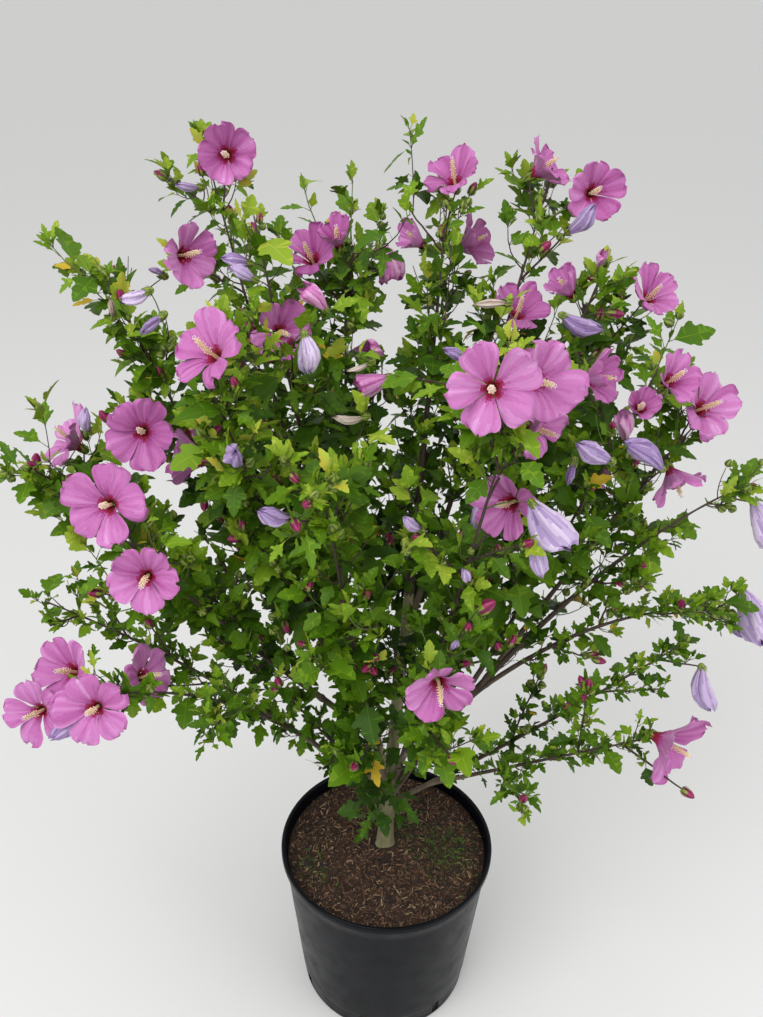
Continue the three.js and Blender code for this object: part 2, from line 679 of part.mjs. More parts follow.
// Soil: fills the pot to a little below its lip, flat where the trunk stands.
function makeSoil() {
  const { foot, height, wall, floor, lipHeight, rim, lipStep } = POT;
  const wallFoot = foot - wall - GAP;
  const wallTop = rim - lipStep - wall - GAP;
  const riseShare = (SOIL.top - floor) / (height - lipHeight - floor);
  const profile = [
    [0, floor + GAP],
    [wallFoot, floor + GAP],
    [THREE.MathUtils.lerp(wallFoot, wallTop, riseShare), SOIL.top],
    [SOIL.flat, SOIL.top + SOIL.crown],
    [0, SOIL.top + SOIL.crown],
  ].map(([r, z]) => new THREE.Vector2(r, z));
  return new THREE.LatheGeometry(profile, POT.sides).rotateX(Math.PI / 2);
}

const shrub = new THREE.Group();

function addNode(name, geometry, material) {
  const mesh = new THREE.Mesh(geometry, MATERIALS[material]);
  mesh.name = name;
  shrub.add(mesh);
}

addNode('pot', makePot(), 'pot');
addNode('soil', largestShell(solidOf(makeSoil())), 'soil');
addNode('trunk', largestShell(solidOf(makeTrunk())), 'bark');

// Boughs: each is cut clear of the trunk and of the boughs made before it.
const guards = [solidOf(makeTrunk(GAP))];
for (const limb of LIMBS) {
  const tube = (swell) => solidOf(taperedTube(
    limb.curve, 0, limb.bare, (t) => limbRadius(limb, t), 5, 3, swell));
  const bough = guards.reduce((solid, guard) => solid.subtract(guard), tube(0));
  guards.push(tube(GAP));
  addNode(`bough_${limb.name}`, largestShell(bough), 'bark');
}
for (const limb of LIMBS) {
  const otherBoughs = guards.filter((_, i) => i !== limb.order + 1);
  addNode(`mass_${limb.name}`, makeMass(limb, otherBoughs), 'foliage');
}

export default shrub;
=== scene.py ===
import json
import math
from types import SimpleNamespace

import bpy
import numpy as np
from mathutils import Matrix, Vector

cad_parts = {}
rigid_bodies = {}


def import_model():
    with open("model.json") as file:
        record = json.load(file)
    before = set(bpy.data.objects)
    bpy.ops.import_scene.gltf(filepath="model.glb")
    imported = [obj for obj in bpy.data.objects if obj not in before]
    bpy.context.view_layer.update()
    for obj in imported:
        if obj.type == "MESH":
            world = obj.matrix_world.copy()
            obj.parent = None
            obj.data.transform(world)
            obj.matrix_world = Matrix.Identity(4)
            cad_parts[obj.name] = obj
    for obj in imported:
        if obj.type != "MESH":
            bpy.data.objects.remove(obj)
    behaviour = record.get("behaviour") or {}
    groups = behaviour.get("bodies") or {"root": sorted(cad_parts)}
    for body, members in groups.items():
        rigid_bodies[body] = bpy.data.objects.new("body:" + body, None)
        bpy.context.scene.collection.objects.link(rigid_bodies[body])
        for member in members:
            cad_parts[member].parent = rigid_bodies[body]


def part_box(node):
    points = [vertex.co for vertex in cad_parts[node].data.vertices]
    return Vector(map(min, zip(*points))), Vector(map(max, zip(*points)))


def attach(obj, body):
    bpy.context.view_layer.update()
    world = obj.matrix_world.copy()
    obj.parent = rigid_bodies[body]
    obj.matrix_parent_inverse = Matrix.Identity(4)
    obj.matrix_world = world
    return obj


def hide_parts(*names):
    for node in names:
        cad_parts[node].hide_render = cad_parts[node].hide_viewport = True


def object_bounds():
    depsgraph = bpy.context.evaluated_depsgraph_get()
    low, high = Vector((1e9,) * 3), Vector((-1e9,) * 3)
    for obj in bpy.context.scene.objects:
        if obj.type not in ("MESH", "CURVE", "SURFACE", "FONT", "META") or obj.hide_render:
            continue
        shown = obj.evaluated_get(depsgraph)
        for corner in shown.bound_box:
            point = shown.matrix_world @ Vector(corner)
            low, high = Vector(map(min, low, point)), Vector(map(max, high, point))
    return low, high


# Hibiscus shrub in a round nursery pot. Lengths are in millimetres, in the frame of
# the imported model, until a mesh is made of them: +Z up, the origin under the pot, and
# -Y the front. Limbs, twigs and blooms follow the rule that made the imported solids.

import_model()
cad_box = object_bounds()

MM = 0.001
GOLDEN_TURN = math.radians(137.5)
CLEARANCE = 0.3  # between solids that meet
POLE = 0.01  # radius of the small ring that closes a turned form

CAMERA = SimpleNamespace(
    place=Vector((-0.0189, -1.1437, 1.579)), pitch=math.radians(28.75), roll=0.0179,
    lens=33.27, sensor=36, far=1000)

POT = SimpleNamespace(
    rim=180, height=305, wall=3, floor=4, foot=146, foot_round=4, foot_recess=12,
    band=0.6, band_low=12, band_high=30, step_out=3.2, step_high=31.5, wall_out=0.4,
    lip_height=13, lip_step=6, lip_round=3.4, lip_under=2.2,
    slots=7, slot_width=13, slot_height=30, slot_rise=5, slot_corner=3, slot_depth=12, slot_turn=-0.23)
SOIL = SimpleNamespace(top=283, crown=2, flat=40, edge=170, calm=168, calm_width=20, gap=0.5)
TRUNK = SimpleNamespace(
    foot=(-3, 12), head=(1, 14), height=142, foot_radius=13.5, head_radius=13, flare=2.5, flare_fade=14,
    bare=0.9)
LIMB_TIP_RADIUS = 2.2
LIMB_TAPER = 0.85
TWIG = SimpleNamespace(
    spacing=92, reach=170, first=0.7, spare=0.4, taper=0.5, chance=(0.8, 1.15), sizes=(1, 0.78, 0.58, 0.4),
    lean=(0.6, 0.75, 0.15), clear_from=0.15, probes=6, tip=0.98, wilted=0.2, bud=0.5)
BLOOM = SimpleNamespace(
    spread=92, tube=24, cup=10, column=30, wilted=52, bud=22,
    closed_half=12, depth=12, margin=2, twig_radius=2.5, root_drop=70, roots=(0.06, 0.97, 0.02),
    rim_height=0.6, rim_probes=10, closed_probes=(0.3, 0.65, 1))
BONES = SimpleNamespace(mass=7, bare=6, twig=3)  # how many along each
SPACE_MARGIN = 3
LIMB_MARGIN = 3.5
BLOOM_ROOM = 34
POT_ROOM = 10
FLOOR_ROOM = 40
REACH = 55  # how far fine growth may pass the box of its mass, then that of the whole plant
OUTER_REACH = 14
OVERLAP = 10  # how far it may pass the border between two masses

# Name, limb that it leaves and where on its bare part, tip, lift of the bend, girth,
# bare share of its length, and blooms that its twigs carry besides the placed ones
LIMBS = [
    ("leader_left", "trunk", 1.0, (-200, 170, 1310), -60, 9.5, 0.4, 0),
    ("leader_right", "trunk", 0.94, (70, 290, 1310), -80, 11, 0.4, 0),
    ("right", "trunk", 0.86, (490, 60, 960), 150, 6.5, 0.32, 0),
    ("low_left", "trunk", 0.8, (-490, -50, 820), 70, 5, 0.2, 0),
    ("low_right", "trunk", 0.68, (430, -20, 745), -20, 4.5, 0.2, 0),
    ("front_left", "trunk", 0.95, (-90, -170, 1080), -60, 5.5, 0.16, 0),
    ("front_right", "trunk", 0.84, (130, -140, 1150), -60, 6, 0.2, 0),
    ("left", "leader_left", 0.3, (-490, 40, 1000), -50, 5.5, 0.2, 0),
    ("upper_left", "leader_left", 0.52, (-400, 120, 1240), -90, 5.5, 0.18, 1),
    ("left_inner", "leader_left", 0.42, (-235, -70, 1170), -60, 5, 0.18, 0),
    ("high_left", "leader_left", 0.8, (-270, 250, 1360), -50, 5, 0.16, 0),
    ("high_mid", "leader_left", 0.92, (-80, 290, 1240), -60, 5, 0.16, 0),
    ("left_front", "left", 0.9, (-340, -140, 980), -20, 4.5, 0.2, 0),
    ("low_left_front", "low_left", 0.82, (-370, -200, 780), 100, 4, 0.2, 0),
    ("low_right_front", "low_right", 0.8, (365, -150, 680), 0, 3.5, 0.22, 0),
    ("front_low", "front_right", 0.75, (60, -190, 800), -20, 4, 0.22, 0),
    ("high_right", "leader_right", 0.8, (220, 290, 1360), -60, 5.5, 0.16, 0),
    ("upper_right", "leader_right", 0.5, (290, 190, 1240), -60, 5.5, 0.18, 0),
    ("right_upper", "right", 0.56, (350, 60, 1140), -40, 4.5, 0.2, 0),
    ("right_mid", "right", 0.95, (440, 100, 1060), 30, 4.5, 0.18, 0),
    ("right_low", "right", 0.79, (490, 0, 790), 110, 4, 0.2, 0),
    ("back_left", "leader_left", 0.25, (-290, 330, 1040), -40, 5.5, 0.18, 3),
    ("back_right", "leader_right", 0.28, (300, 330, 1040), -40, 5.5, 0.18, 3),
    ("back_low", "leader_right", 0.16, (20, 370, 830), 30, 4.5, 0.2, 3),
    ("fork_left", "trunk", 0.9, (-160, -70, 690), -20, 3.5, 0.25, 0),
    ("fork_right", "trunk", 0.74, (90, -70, 660), -20, 3.5, 0.25, 0),
]

# Mass, middle, heading, rise, stage, how far it is closed (or how long, if wilted), tone
BLOOMS = [
    ("high_left", (-240, 220, 1380), -80, 8, "open", 0.45, 0.3),
    ("high_left", (-290, 150, 1260), -40, 12, "open", 0.3, 0.2),
    ("left_inner", (-230, -70, 1200), -130, 40, "open", 0.1, 0.1),
    ("leader_left", (-160, 100, 1170), -65, 20, "open", 0.2, 0.2),
    ("high_mid", (-130, 240, 1240), -110, 50, "open", 0.4, -0.1),
    ("high_mid", (-40, 310, 1220), 0, 65, "bud", 0, 0),
    ("upper_left", (-340, 0, 1060), -85, 18, "open", 0.12, 0.1),
    ("left", (-460, 60, 1020), -160, 45, "open", 0.2, 0.5),
    ("left_inner", (-270, -10, 1030), 175, 10, "open", 0.3, 0.1),
    ("leader_right", (80, 330, 1340), -120, 60, "open", 0.3, -0.1),
    ("leader_right", (110, 330, 1240), -20, 30, "open", 0.45, 0.1),
    ("high_right", (205, 290, 1360), -20, 40, "open", 0.4, 0.2),
    ("high_right", (280, 270, 1330), -85, 12, "open", 0.35, 0.1),
    ("back_right", (390, 280, 1180), -60, 45, "open", 0.3, 0.2),
    ("high_right", (180, 220, 1170), -60, 60, "open", 0.3, 0),
    ("front_right", (100, -180, 1200), -95, 15, "open", 0, 0.4),
    ("front_right", (165, -110, 1185), -65, 20, "open", 0.05, 0.4),
    ("front_right", (180, -60, 1100), -45, 0, "open", 0.2, 0.3),
    ("front_right", (140, -90, 1010), -130, 10, "open", 0.2, 0.1),
    ("front_right", (175, -130, 985), -70, -60, "wilted", 50, 0.2),
    ("right_upper", (265, 50, 1130), -40, 20, "open", 0.5, 0),
    ("right_upper", (370, 50, 1130), -60, 40, "open", 0.45, 0.2),
    ("right_mid", (440, 100, 1070), -60, 35, "open", 0.25, 0.3),
    ("right_mid", (400, 60, 975), -60, -40, "open", 0.4, 0.3),
    ("right", (520, 60, 940), -50, -50, "wilted", 80, 0.9),
    ("right_low", (525, 40, 800), -55, -50, "wilted", 90, 0.5),
    ("low_right", (460, -30, 710), -40, -65, "wilted", 70, 0.2),
    ("low_right_front", (380, -175, 690), -42, 0, "open", 0.25, 0.1),
    ("front_low", (60, -200, 800), -85, 0, "open", 0.15, 0.3),
    ("left_front", (-360, -130, 1020), -95, 25, "open", 0, 0.2),
    ("left_front", (-310, -170, 940), -90, 20, "open", 0.1, 0.2),
    ("low_left_front", (-480, -170, 720), -100, 25, "open", 0, 0.3),
    ("low_left_front", (-380, -225, 775), -90, 25, "open", 0, 0.3),
    ("low_left_front", (-440, -140, 770), -120, 40, "open", 0.2, 0.2),
    ("low_left", (-340, -110, 740), -20, 30, "open", 0.2, 0.2),
]

# How long the shoots of a mass are and how large its leaves, against the rest of the crown
VIGOUR = {
    "low_left": 0.42, "low_left_front": 0.55, "low_right": 0.16, "low_right_front": 0.26,
    "right_low": 0.34, "fork_left": 0.4, "fork_right": 0.35, "front_low": 0.65,
    "left_front": 0.85, "right": 0.9, "front_right": 0.85, "leader_left": 1.5,
    "leader_right": 1.2, "high_mid": 1.6, "high_left": 0.7, "high_right": 1.1,
    "upper_left": 1.05, "right_mid": 1.15, "left": 1.1,
}

# How much larger the open blooms of a mass are than those of the others
BLOOM_GROWTH = {"low_right_front": 1.2}

# Smaller ones besides those: foot, heading, rise, length, kind, tone
SMALL_BLOOMS = [
    ((-280, 230, 1335), -160, 10, 37, "violet", 0.6),
    ((-325, 60, 1235), -160, -15, 38, "limp", 0.9),
    ((-380, 70, 1195), -75, 70, 32, "dry", 0),
    ((-325, 150, 1230), -145, 30, 26, "violet", 0.1),
    ((-305, 40, 1210), -160, -35, 40, "violet", -0.2),
    ((-205, 150, 1250), -160, 15, 42, "violet", 0.2),
    ((-195, 120, 1235), -160, 30, 42, "violet", 1.0),
    ((-120, 0, 1200), -65, -75, 50, "limp", 1.0),
    ((-95, 40, 1220), -155, 45, 45, "pink", 0.4),
    ((-35, 0, 1165), -160, -15, 35, "dry", 1),
    ((-10, 0, 1145), -165, -15, 50, "pink", 0.2),
    ((-40, -60, 1115), -165, 5, 42, "dry", 1),
    ((150, 120, 1210), -165, 0, 48, "dry", 0.6),
    ((85, 0, 1160), -160, 40, 42, "violet", -0.2),
    ((-30, 250, 1255), -25, -65, 56, "pink", 0.3),
    ((70, 300, 1250), -130, 65, 30, "ripe", 0),
    ((195, 180, 1265), -45, 45, 25, "ripe", 0),
    ((315, 190, 1215), -35, 45, 27, "ripe", 0),
    ((230, 150, 1185), -10, -15, 62, "violet", -0.1),
    ((290, 150, 1190), -20, 0, 28, "ripe", 0),
    ((280, -40, 1050), -170, 30, 60, "violet", 0.5),
    ((165, -130, 1035), -30, -40, 74, "limp", 0.5),
    ((-25, 150, 1120), -120, 30, 52, "pink", 0.3),
    ((330, 60, 1075), -90, 45, 42, "cup", 0.2),
    ((360, 0, 1020), -170, 35, 74, "violet", 0.0),
    ((235, -20, 1040), -120, -65, 33, "violet", -0.5),
    ((320, 60, 1035), -140, 70, 48, "pink", 0.8),
    ((-420, 20, 1050), -60, 75, 42, "violet", 1.0),
    ((-385, 20, 1065), -140, 55, 26, "ripe", 0),
    ((-505, 40, 990), -55, 65, 24, "ripe", 0),
    ((-450, 0, 985), -35, 45, 22, "ripe", 0),
    ((105, -150, 885), -25, 45, 34, "ripe", 1),
    ((95, -150, 855), -80, 65, 20, "ripe", 0),
    ((75, -150, 825), -55, 60, 26, "violet", 0.2),
    ((30, -150, 1005), -150, 45, 36, "violet", 0.9),
    ((415, -20, 805), -110, 70, 24, "ripe", 0),
    ((285, 190, 1240), -90, 65, 30, "pink", 0.6),
    ((250, 170, 1200), -155, 50, 45, "cup", 0.2),
    ((45, 290, 1240), -155, 35, 40, "cup", 0.2),
    ((-85, 240, 1245), -115, 65, 38, "cup", 0),
    ((95, -140, 925), -135, 60, 30, "violet", 0.8),
]


def add_camera():
    """The camera, level apart from its pitch and a slight roll."""
    level = Vector((1, 0, 0))
    rise = Vector((0, math.sin(CAMERA.pitch), math.cos(CAMERA.pitch)))
    forward = Vector((0, math.cos(CAMERA.pitch), -math.sin(CAMERA.pitch)))
    right = level * math.cos(CAMERA.roll) + rise * math.sin(CAMERA.roll)
    top = rise * math.cos(CAMERA.roll) - level * math.sin(CAMERA.roll)
    data = bpy.data.cameras.new("camera")
    data.lens = CAMERA.lens
    data.sensor_width = CAMERA.sensor
    data.clip_end = CAMERA.far
    camera = bpy.data.objects.new("camera", data)
    turn = Matrix((right, top, -forward)).transposed().to_4x4()
    camera.matrix_world = Matrix.Translation(CAMERA.place) @ turn
    bpy.context.scene.collection.objects.link(camera)
    bpy.context.scene.camera = camera


add_camera()


# Vectors and curves

ASLANT = (0.3, 1, 0.1)  # a way that no stem or bloom takes
LEAST_BEND = 1e-3  # of a curve, as a share of its chord; below this it counts as straight
LENGTH_SPOTS = 201  # along a curve, to sum its length


def unit(vector):
    vector = np.asarray(vector, dtype=float)
    return vector / np.linalg.norm(vector, axis=-1, keepdims=True)


def upward(height):
    return np.array((0, 0, height))


def turned(vector, axis, angle):
    """The vector turned about a unit axis."""
    return (vector * math.cos(angle) + np.cross(axis, vector) * math.sin(angle)
            + axis * (axis @ vector) * (1 - math.cos(angle)))


def pointing(heading, rise):
    """A unit vector from degrees round from +X and degrees up from level."""
    heading, rise = math.radians(heading), math.radians(rise)
    level = math.cos(rise)
    return np.array((math.cos(heading) * level, math.sin(heading) * level, math.sin(rise)))


def leaning(along, out, lean):
    """A way that is so much along a stem, so much out from it and so much up."""
    return along * lean[0] + out * lean[1] + upward(lean[2])


def circle(count):
    """So many even turns of a full circle, in radians."""
    return np.arange(count) * 2 * math.pi / count


def around(radius, turns, height):
    """Corners at these turns about the Z axis."""
    return np.stack(np.broadcast_arrays(radius * np.cos(turns), radius * np.sin(turns), height), axis=-1)


def attributes(things, *keys):
    """For each key, an array of what the things have there."""
    return [np.array([getattr(thing, key) for thing in things]) for key in keys]


class Curve:
    """Bezier curve with one bend, and the vector that all its sections share."""

    def __init__(self, start, bend, end):
        self.start, self.bend, self.end = (np.asarray(spot, dtype=float) for spot in (start, bend, end))
        chord = self.end - self.start
        side = np.cross(chord, self.bend - self.start)
        nearly_straight = np.linalg.norm(side) < LEAST_BEND * (chord @ chord)
        self.side = unit(np.cross(chord, ASLANT) if nearly_straight else side)
        steps = self.at(np.linspace(0, 1, LENGTH_SPOTS))
        self.length = np.linalg.norm(np.diff(steps, axis=0), axis=1).sum()

    def at(self, share):
        share = np.asarray(share, dtype=float)[..., None]
        return (1 - share) ** 2 * self.start + 2 * share * (1 - share) * self.bend + share ** 2 * self.end

    def along(self, share):
        share = np.asarray(share, dtype=float)[..., None]
        return unit((1 - share) * (self.bend - self.start) + share * (self.end - self.bend))


def straight(start, end):
    start, end = np.asarray(start, dtype=float), np.asarray(end, dtype=float)
    return Curve(start, (start + end) / 2, end)


def dice(seed):
    """Seeded whole-number generator, the same as the solids'."""
    modulus = 2147483647
    state = (seed * 7919 + 104729) % modulus

    def roll(low, high):
        nonlocal state
        state = state * 48271 % modulus
        return low + (high - low) * state / modulus

    roll(0, 1)
    return roll


# Limbs, bones and spaces, as in the solids

TRUNK_FOOT = np.array((*TRUNK.foot, SOIL.top + SOIL.crown + CLEARANCE))
TRUNK_HEAD = np.array((*TRUNK.head, TRUNK_FOOT[2] + TRUNK.height))


def limb_radius(limb, share):
    return LIMB_TIP_RADIUS + (limb.girth - LIMB_TIP_RADIUS) * (1 - share) ** LIMB_TAPER


def bones_along(curve, start, stop, radius_at, count):
    """Straight pieces of a curve: where each starts and ends, and its radius."""
    shares = np.linspace(start, stop, count + 1)
    spots = curve.at(shares)
    return [(spots[i], spots[i + 1], radius_at(shares[i])) for i in range(count)]


def limb_bones(limb, start, stop, count):
    return bones_along(limb.curve, start, stop, lambda share: limb_radius(limb, share), count)


def bone_table(bones):
    starts = np.array([bone[0] for bone in bones])
    spans = np.array([bone[1] for bone in bones]) - starts
    return starts, spans, (spans ** 2).sum(-1), np.array([bone[2] for bone in bones])


def gap_to(points, table):
    """How far each point is from the nearest bone's surface."""
    starts, spans, squares, radii = table
    offsets = points[:, None, :] - starts
    shares = np.clip((offsets * spans).sum(-1) / squares, 0, 1)
    return (np.linalg.norm(offsets - shares[..., None] * spans, axis=-1) - radii).min(1)


def grow_limbs():
    """The trunk, and a limb for each row of the list, with nothing on it yet."""
    trunk = SimpleNamespace(
        curve=straight(TRUNK_FOOT, TRUNK_HEAD), bare=TRUNK.bare, girth=TRUNK.foot_radius)
    limbs = {"trunk": trunk}
    for order, (name, parent_name, at, tip, lift, girth, bare, extra) in enumerate(LIMBS):
        parent = limbs[parent_name]
        start = parent.curve.at(parent.bare * at)
        bend = (start + tip) / 2 + upward(lift)
        limbs[name] = SimpleNamespace(
            name=name, order=order, girth=girth, bare=bare, extra=extra, parent=parent,
            curve=Curve(start, bend, tip), vigour=VIGOUR.get(name, 1),
            blooms=[], small_blooms=[], twigs=[], stalks=[], shoots=[], leaves=[], tufts=[])
    limbs.pop("trunk")
    return trunk, list(limbs.values())


def bloom_foot(stage):
    """How far the middle of a bloom stands from its twig."""
    return BLOOM.tube if stage == "open" else 0


def new_bloom(middle, way, stage, closed, tone, kind, length=None):
    """A bloom, bud or faded bloom. With no length of its own it gets the usual one."""
    return SimpleNamespace(
        middle=middle, way=way, stage=stage, closed=closed, tone=tone, kind=kind, length=length)


def place_bloom(limb, middle, heading, rise, stage, closed, tone):
    """A bloom in its mass, and the flowering twig from the stem to it."""
    middle, way = np.array(middle, dtype=float), pointing(heading, rise)
    bloom = new_bloom(middle, way, stage, closed, tone, "limp", closed if stage == "wilted" else None)
    base = middle - way * bloom_foot(stage)
    first, last, step = BLOOM.roots
    shares = np.arange(limb.bare + first, last, step)
    gaps = np.linalg.norm(limb.curve.at(shares) - base + upward(BLOOM.root_drop), axis=1)
    bloom.twig = straight(limb.curve.at(shares[gaps.argmin()]), base)
    half = BLOOM.spread / 2 if stage == "open" else BLOOM.closed_half
    bloom.bones = bones_along(bloom.twig, 0, 1, lambda share: BLOOM.twig_radius, BONES.twig)
    bloom.bones.append((middle, middle + way * BLOOM.depth, half + BLOOM.margin))
    return bloom


trunk, limbs = grow_limbs()
for limb in limbs:
    limb.blooms = [place_bloom(limb, *row) for mass, *row in BLOOMS if mass == limb.name]
    limb.bones = limb_bones(limb, limb.bare, 1, BONES.mass)
    limb.bones += [bone for bloom in limb.blooms for bone in bloom.bones]

bare_bones = [(TRUNK_FOOT, TRUNK_HEAD, TRUNK.foot_radius)]
for limb in limbs:
    bare_bones += limb_bones(limb, 0, limb.bare, BONES.bare)
BARE_LIMBS = bone_table(bare_bones)
for limb in limbs:
    limb.own = bone_table(limb.bones)
    limb.others = bone_table([bone for other in limbs if other is not limb for bone in other.bones])
    low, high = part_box(f"mass_{limb.name}")
    limb.low = np.maximum(np.array(low) / MM - REACH, np.array(cad_box[0]) / MM - OUTER_REACH)
    limb.high = np.minimum(np.array(high) / MM + REACH, np.array(cad_box[1]) / MM + OUTER_REACH)


def in_own_space(limb, points, margin=SPACE_MARGIN):
    """For each point: nearer to its own mass than to any other, and clear of limbs and pot."""
    over_pot = np.hypot(points[:, 0], points[:, 1]) < POT.rim + POT_ROOM
    high = points[:, 2] >= np.where(over_pot, POT.height + POT_ROOM, FLOOR_ROOM)
    clear = gap_to(points, BARE_LIMBS) >= LIMB_MARGIN
    return high & clear & (gap_to(points, limb.others) > gap_to(points, limb.own) + margin)


def in_reach(limb, points):
    return ((points > limb.low) & (points < limb.high)).all(1) & in_own_space(limb, points, -OVERLAP)


def flowering_twigs(limb):
    return [bloom.twig for bloom in limb.blooms]


def clear_of_blooms(limb, points):
    middles = np.array([bloom.middle for bloom in limb.blooms]).reshape(-1, 1, 3)
    return (np.linalg.norm(points - middles, axis=-1) > BLOOM_ROOM).all(0)


def fits(limb, points):
    return bool(in_own_space(limb, points).all() and clear_of_blooms(limb, points).all())


def bloom_points(bloom):
    """Points on a bloom that have to be clear."""
    if bloom.stage != "open":
        length = BLOOM.wilted if bloom.stage == "wilted" else BLOOM.bud
        return bloom.middle + np.outer(np.array(BLOOM.closed_probes) * length, bloom.way)
    side = unit(np.cross(bloom.way, ASLANT))
    turns = circle(BLOOM.rim_probes)
    ring = np.outer(np.cos(turns), side) + np.outer(np.sin(turns), np.cross(bloom.way, side))
    rim = bloom.middle + bloom.way * BLOOM.cup * BLOOM.rim_height
    return np.vstack([bloom.middle + bloom.way * BLOOM.column,
                      rim + ring * BLOOM.spread / 2, rim + ring * BLOOM.spread / 4])


def grow_twigs(limb):
    """The twigs and the small blooms of one mass, by the rule of the solids."""
    count = round(limb.curve.length * (1 - limb.bare) / TWIG.spacing)
    extra = limb.extra
    probes = TWIG.clear_from + (1 - TWIG.clear_from) * np.arange(1, TWIG.probes + 1) / TWIG.probes
    for i in range(count):
        roll = dice(limb.order * 1000 + i)
        share = (i + TWIG.first) / (count + TWIG.spare)
        place = limb.bare + (1 - limb.bare) * share
        start, along = limb.curve.at(place), limb.curve.along(place)
        out = turned(limb.curve.side, along, limb.order + i * GOLDEN_TURN)
        full = TWIG.reach * (1 - TWIG.taper * share) * roll(*TWIG.chance)
        for size in TWIG.sizes:
            twig = straight(start, start + leaning(along, out, TWIG.lean) * (full * size))
            if not fits(limb, twig.at(probes)):
                continue
            limb.twigs.append(twig)
            luck = roll(0, 1)
            way = twig.along(1)
            chances = {"open": extra > 0, "wilted": luck < TWIG.wilted, "bud": luck < TWIG.bud}
            for stage in (stage for stage, given in chances.items() if given):
                middle = twig.at(TWIG.tip) + way * bloom_foot(stage)
                bloom = new_bloom(middle, way, stage, luck * 0.5, luck, "violet")
                if fits(limb, bloom_points(bloom)):
                    limb.small_blooms.append(bloom)
                    extra -= stage == "open"
                    break
            break


for limb in limbs:
    grow_twigs(limb)

CUP_CLOSED = 0.75  # how far the smallest open blooms are closed
STAGES = {"cup": "open", "ripe": "bud"}  # every other kind is wilted
STALK_DROP = 22  # how far below a small bloom the root of its stalk is looked for
STALK_BEND = 6
STALK_ROOTS = SimpleNamespace(on_twig=0.2, last=0.98, count=24)  # where they may be along a stem


def place_small_bloom(foot, heading, rise, length, kind, tone):
    """A bloom on a stalk from the nearest stem or twig that stands below it."""
    foot, way = np.array(foot, dtype=float), pointing(heading, rise)
    nearest = math.inf
    for limb in limbs:
        for curve, start in [(limb.curve, limb.bare)] + [(twig, STALK_ROOTS.on_twig) for twig in limb.twigs]:
            spots = curve.at(np.linspace(start, STALK_ROOTS.last, STALK_ROOTS.count))
            gaps = np.linalg.norm(spots - foot + upward(STALK_DROP), axis=1)
            if gaps.min() < nearest:
                nearest, owner, root = gaps.min(), limb, spots[gaps.argmin()]
    owner.stalks.append(Curve(root, (root + foot) / 2 + upward(STALK_BEND) - way * STALK_BEND, foot))
    stage = STAGES.get(kind, "wilted")
    return new_bloom(foot + way * bloom_foot(stage), way, stage, CUP_CLOSED, tone, kind, length)


SMALL = [place_small_bloom(*row) for row in SMALL_BLOOMS]


# Finer growth: shoots on the stems and twigs, and real-size leaves on all of them

SHOOT = SimpleNamespace(
    spacing=24, place=(0.3, 0.7), length=(38, 105), sizes=(1, 0.7, 0.45), turn=0.4, sway=0.15,
    lean=(0.5, 0.62, 0.3), bend=(0.18, 0.42, 0), probes=np.array((0.35, 0.6, 0.85, 1)))
LEAF = SimpleNamespace(
    length=(37, 58), sizes=(1.1, 0.95, 0.75), young_size=(0.9, 1.1), young_taper=0.3,
    stalk=(7, 16), lean=(0.55, 0.85, 0.25), turn=0.35, droop=(-0.85, 0.0), stray=0.15,
    width=(0.82, 1.15), bend=(0.02, 0.42), fold=(0.05, 0.5), young_lean=0.5, young_rise=0.5, least=0.55,
    face_x=(-0.5, 0.5), face_y=(-0.7, 0.2), face_out=0.35, last=0.99, thinned=0.4, newest=1.6,
    room=7)  # least distance between the middles of two leaves
# Where the leaves start on each kind of stem, as a share of it, and the distance between them
LEAF_START = {"stem": 0.03, "twig": 0.12, "shoot": 0.15}
LEAF_STEP = {"stem": 22, "twig": 15, "shoot": 10}
# Points on a leaf that have to be clear: along and across it, as shares of its length
LEAF_PROBES = ((1.0, 0), (0.5, 0), (0.45, 0.36), (0.45, -0.36), (0.75, 0.15), (0.75, -0.15))
# The small leaves at the foot of a larger one
TUFT = SimpleNamespace(
    most=2, length=(11, 25), stalk=0.25, spread=0.7, width=(0.75, 1.1), bend=(-0.1, 0.4), fold=(0.1, 0.6))
# Height on the trunk, heading and length of each sprout
SPROUTS = [
    (38, 170, 26), (66, 190, 40), (88, -130, 34), (104, 165, 46), (118, -60, 38), (70, -15, 30),
    (128, -100, 40)]
SPROUT_LEAVES = 5
# The space that a bloom's petals take: its radius, and how it narrows behind and in front
OPEN_ROOM = SimpleNamespace(radius=54, back=-30, back_slope=0.6, front=75, front_slope=0.5)
WILTED_ROOM = SimpleNamespace(radius=6, girth=0.16, back=-4, front=8)


def behind_bloom(limb, points):
    """True where a point is clear of every petal, and isn't in front of a bloom's face."""
    clear = np.ones(len(points), dtype=bool)
    for bloom in limb.blooms + limb.small_blooms + SMALL:
        offset = points - bloom.middle
        height = offset @ bloom.way
        radius = np.linalg.norm(offset - np.outer(height, bloom.way), axis=1)
        if bloom.stage == "open":
            room = OPEN_ROOM
            back = height > room.back + radius * room.back_slope
            clear &= ~((radius < room.radius) & back & (height < room.front - radius * room.front_slope))
        elif bloom.stage == "wilted":
            room, length = WILTED_ROOM, bloom.length or BLOOM.wilted
            within = (height > room.back) & (height < length + room.front)
            clear &= ~((radius < room.radius + room.girth * length) & within)
    return clear


def has_room(limb, points):
    return in_reach(limb, points) & behind_bloom(limb, points)


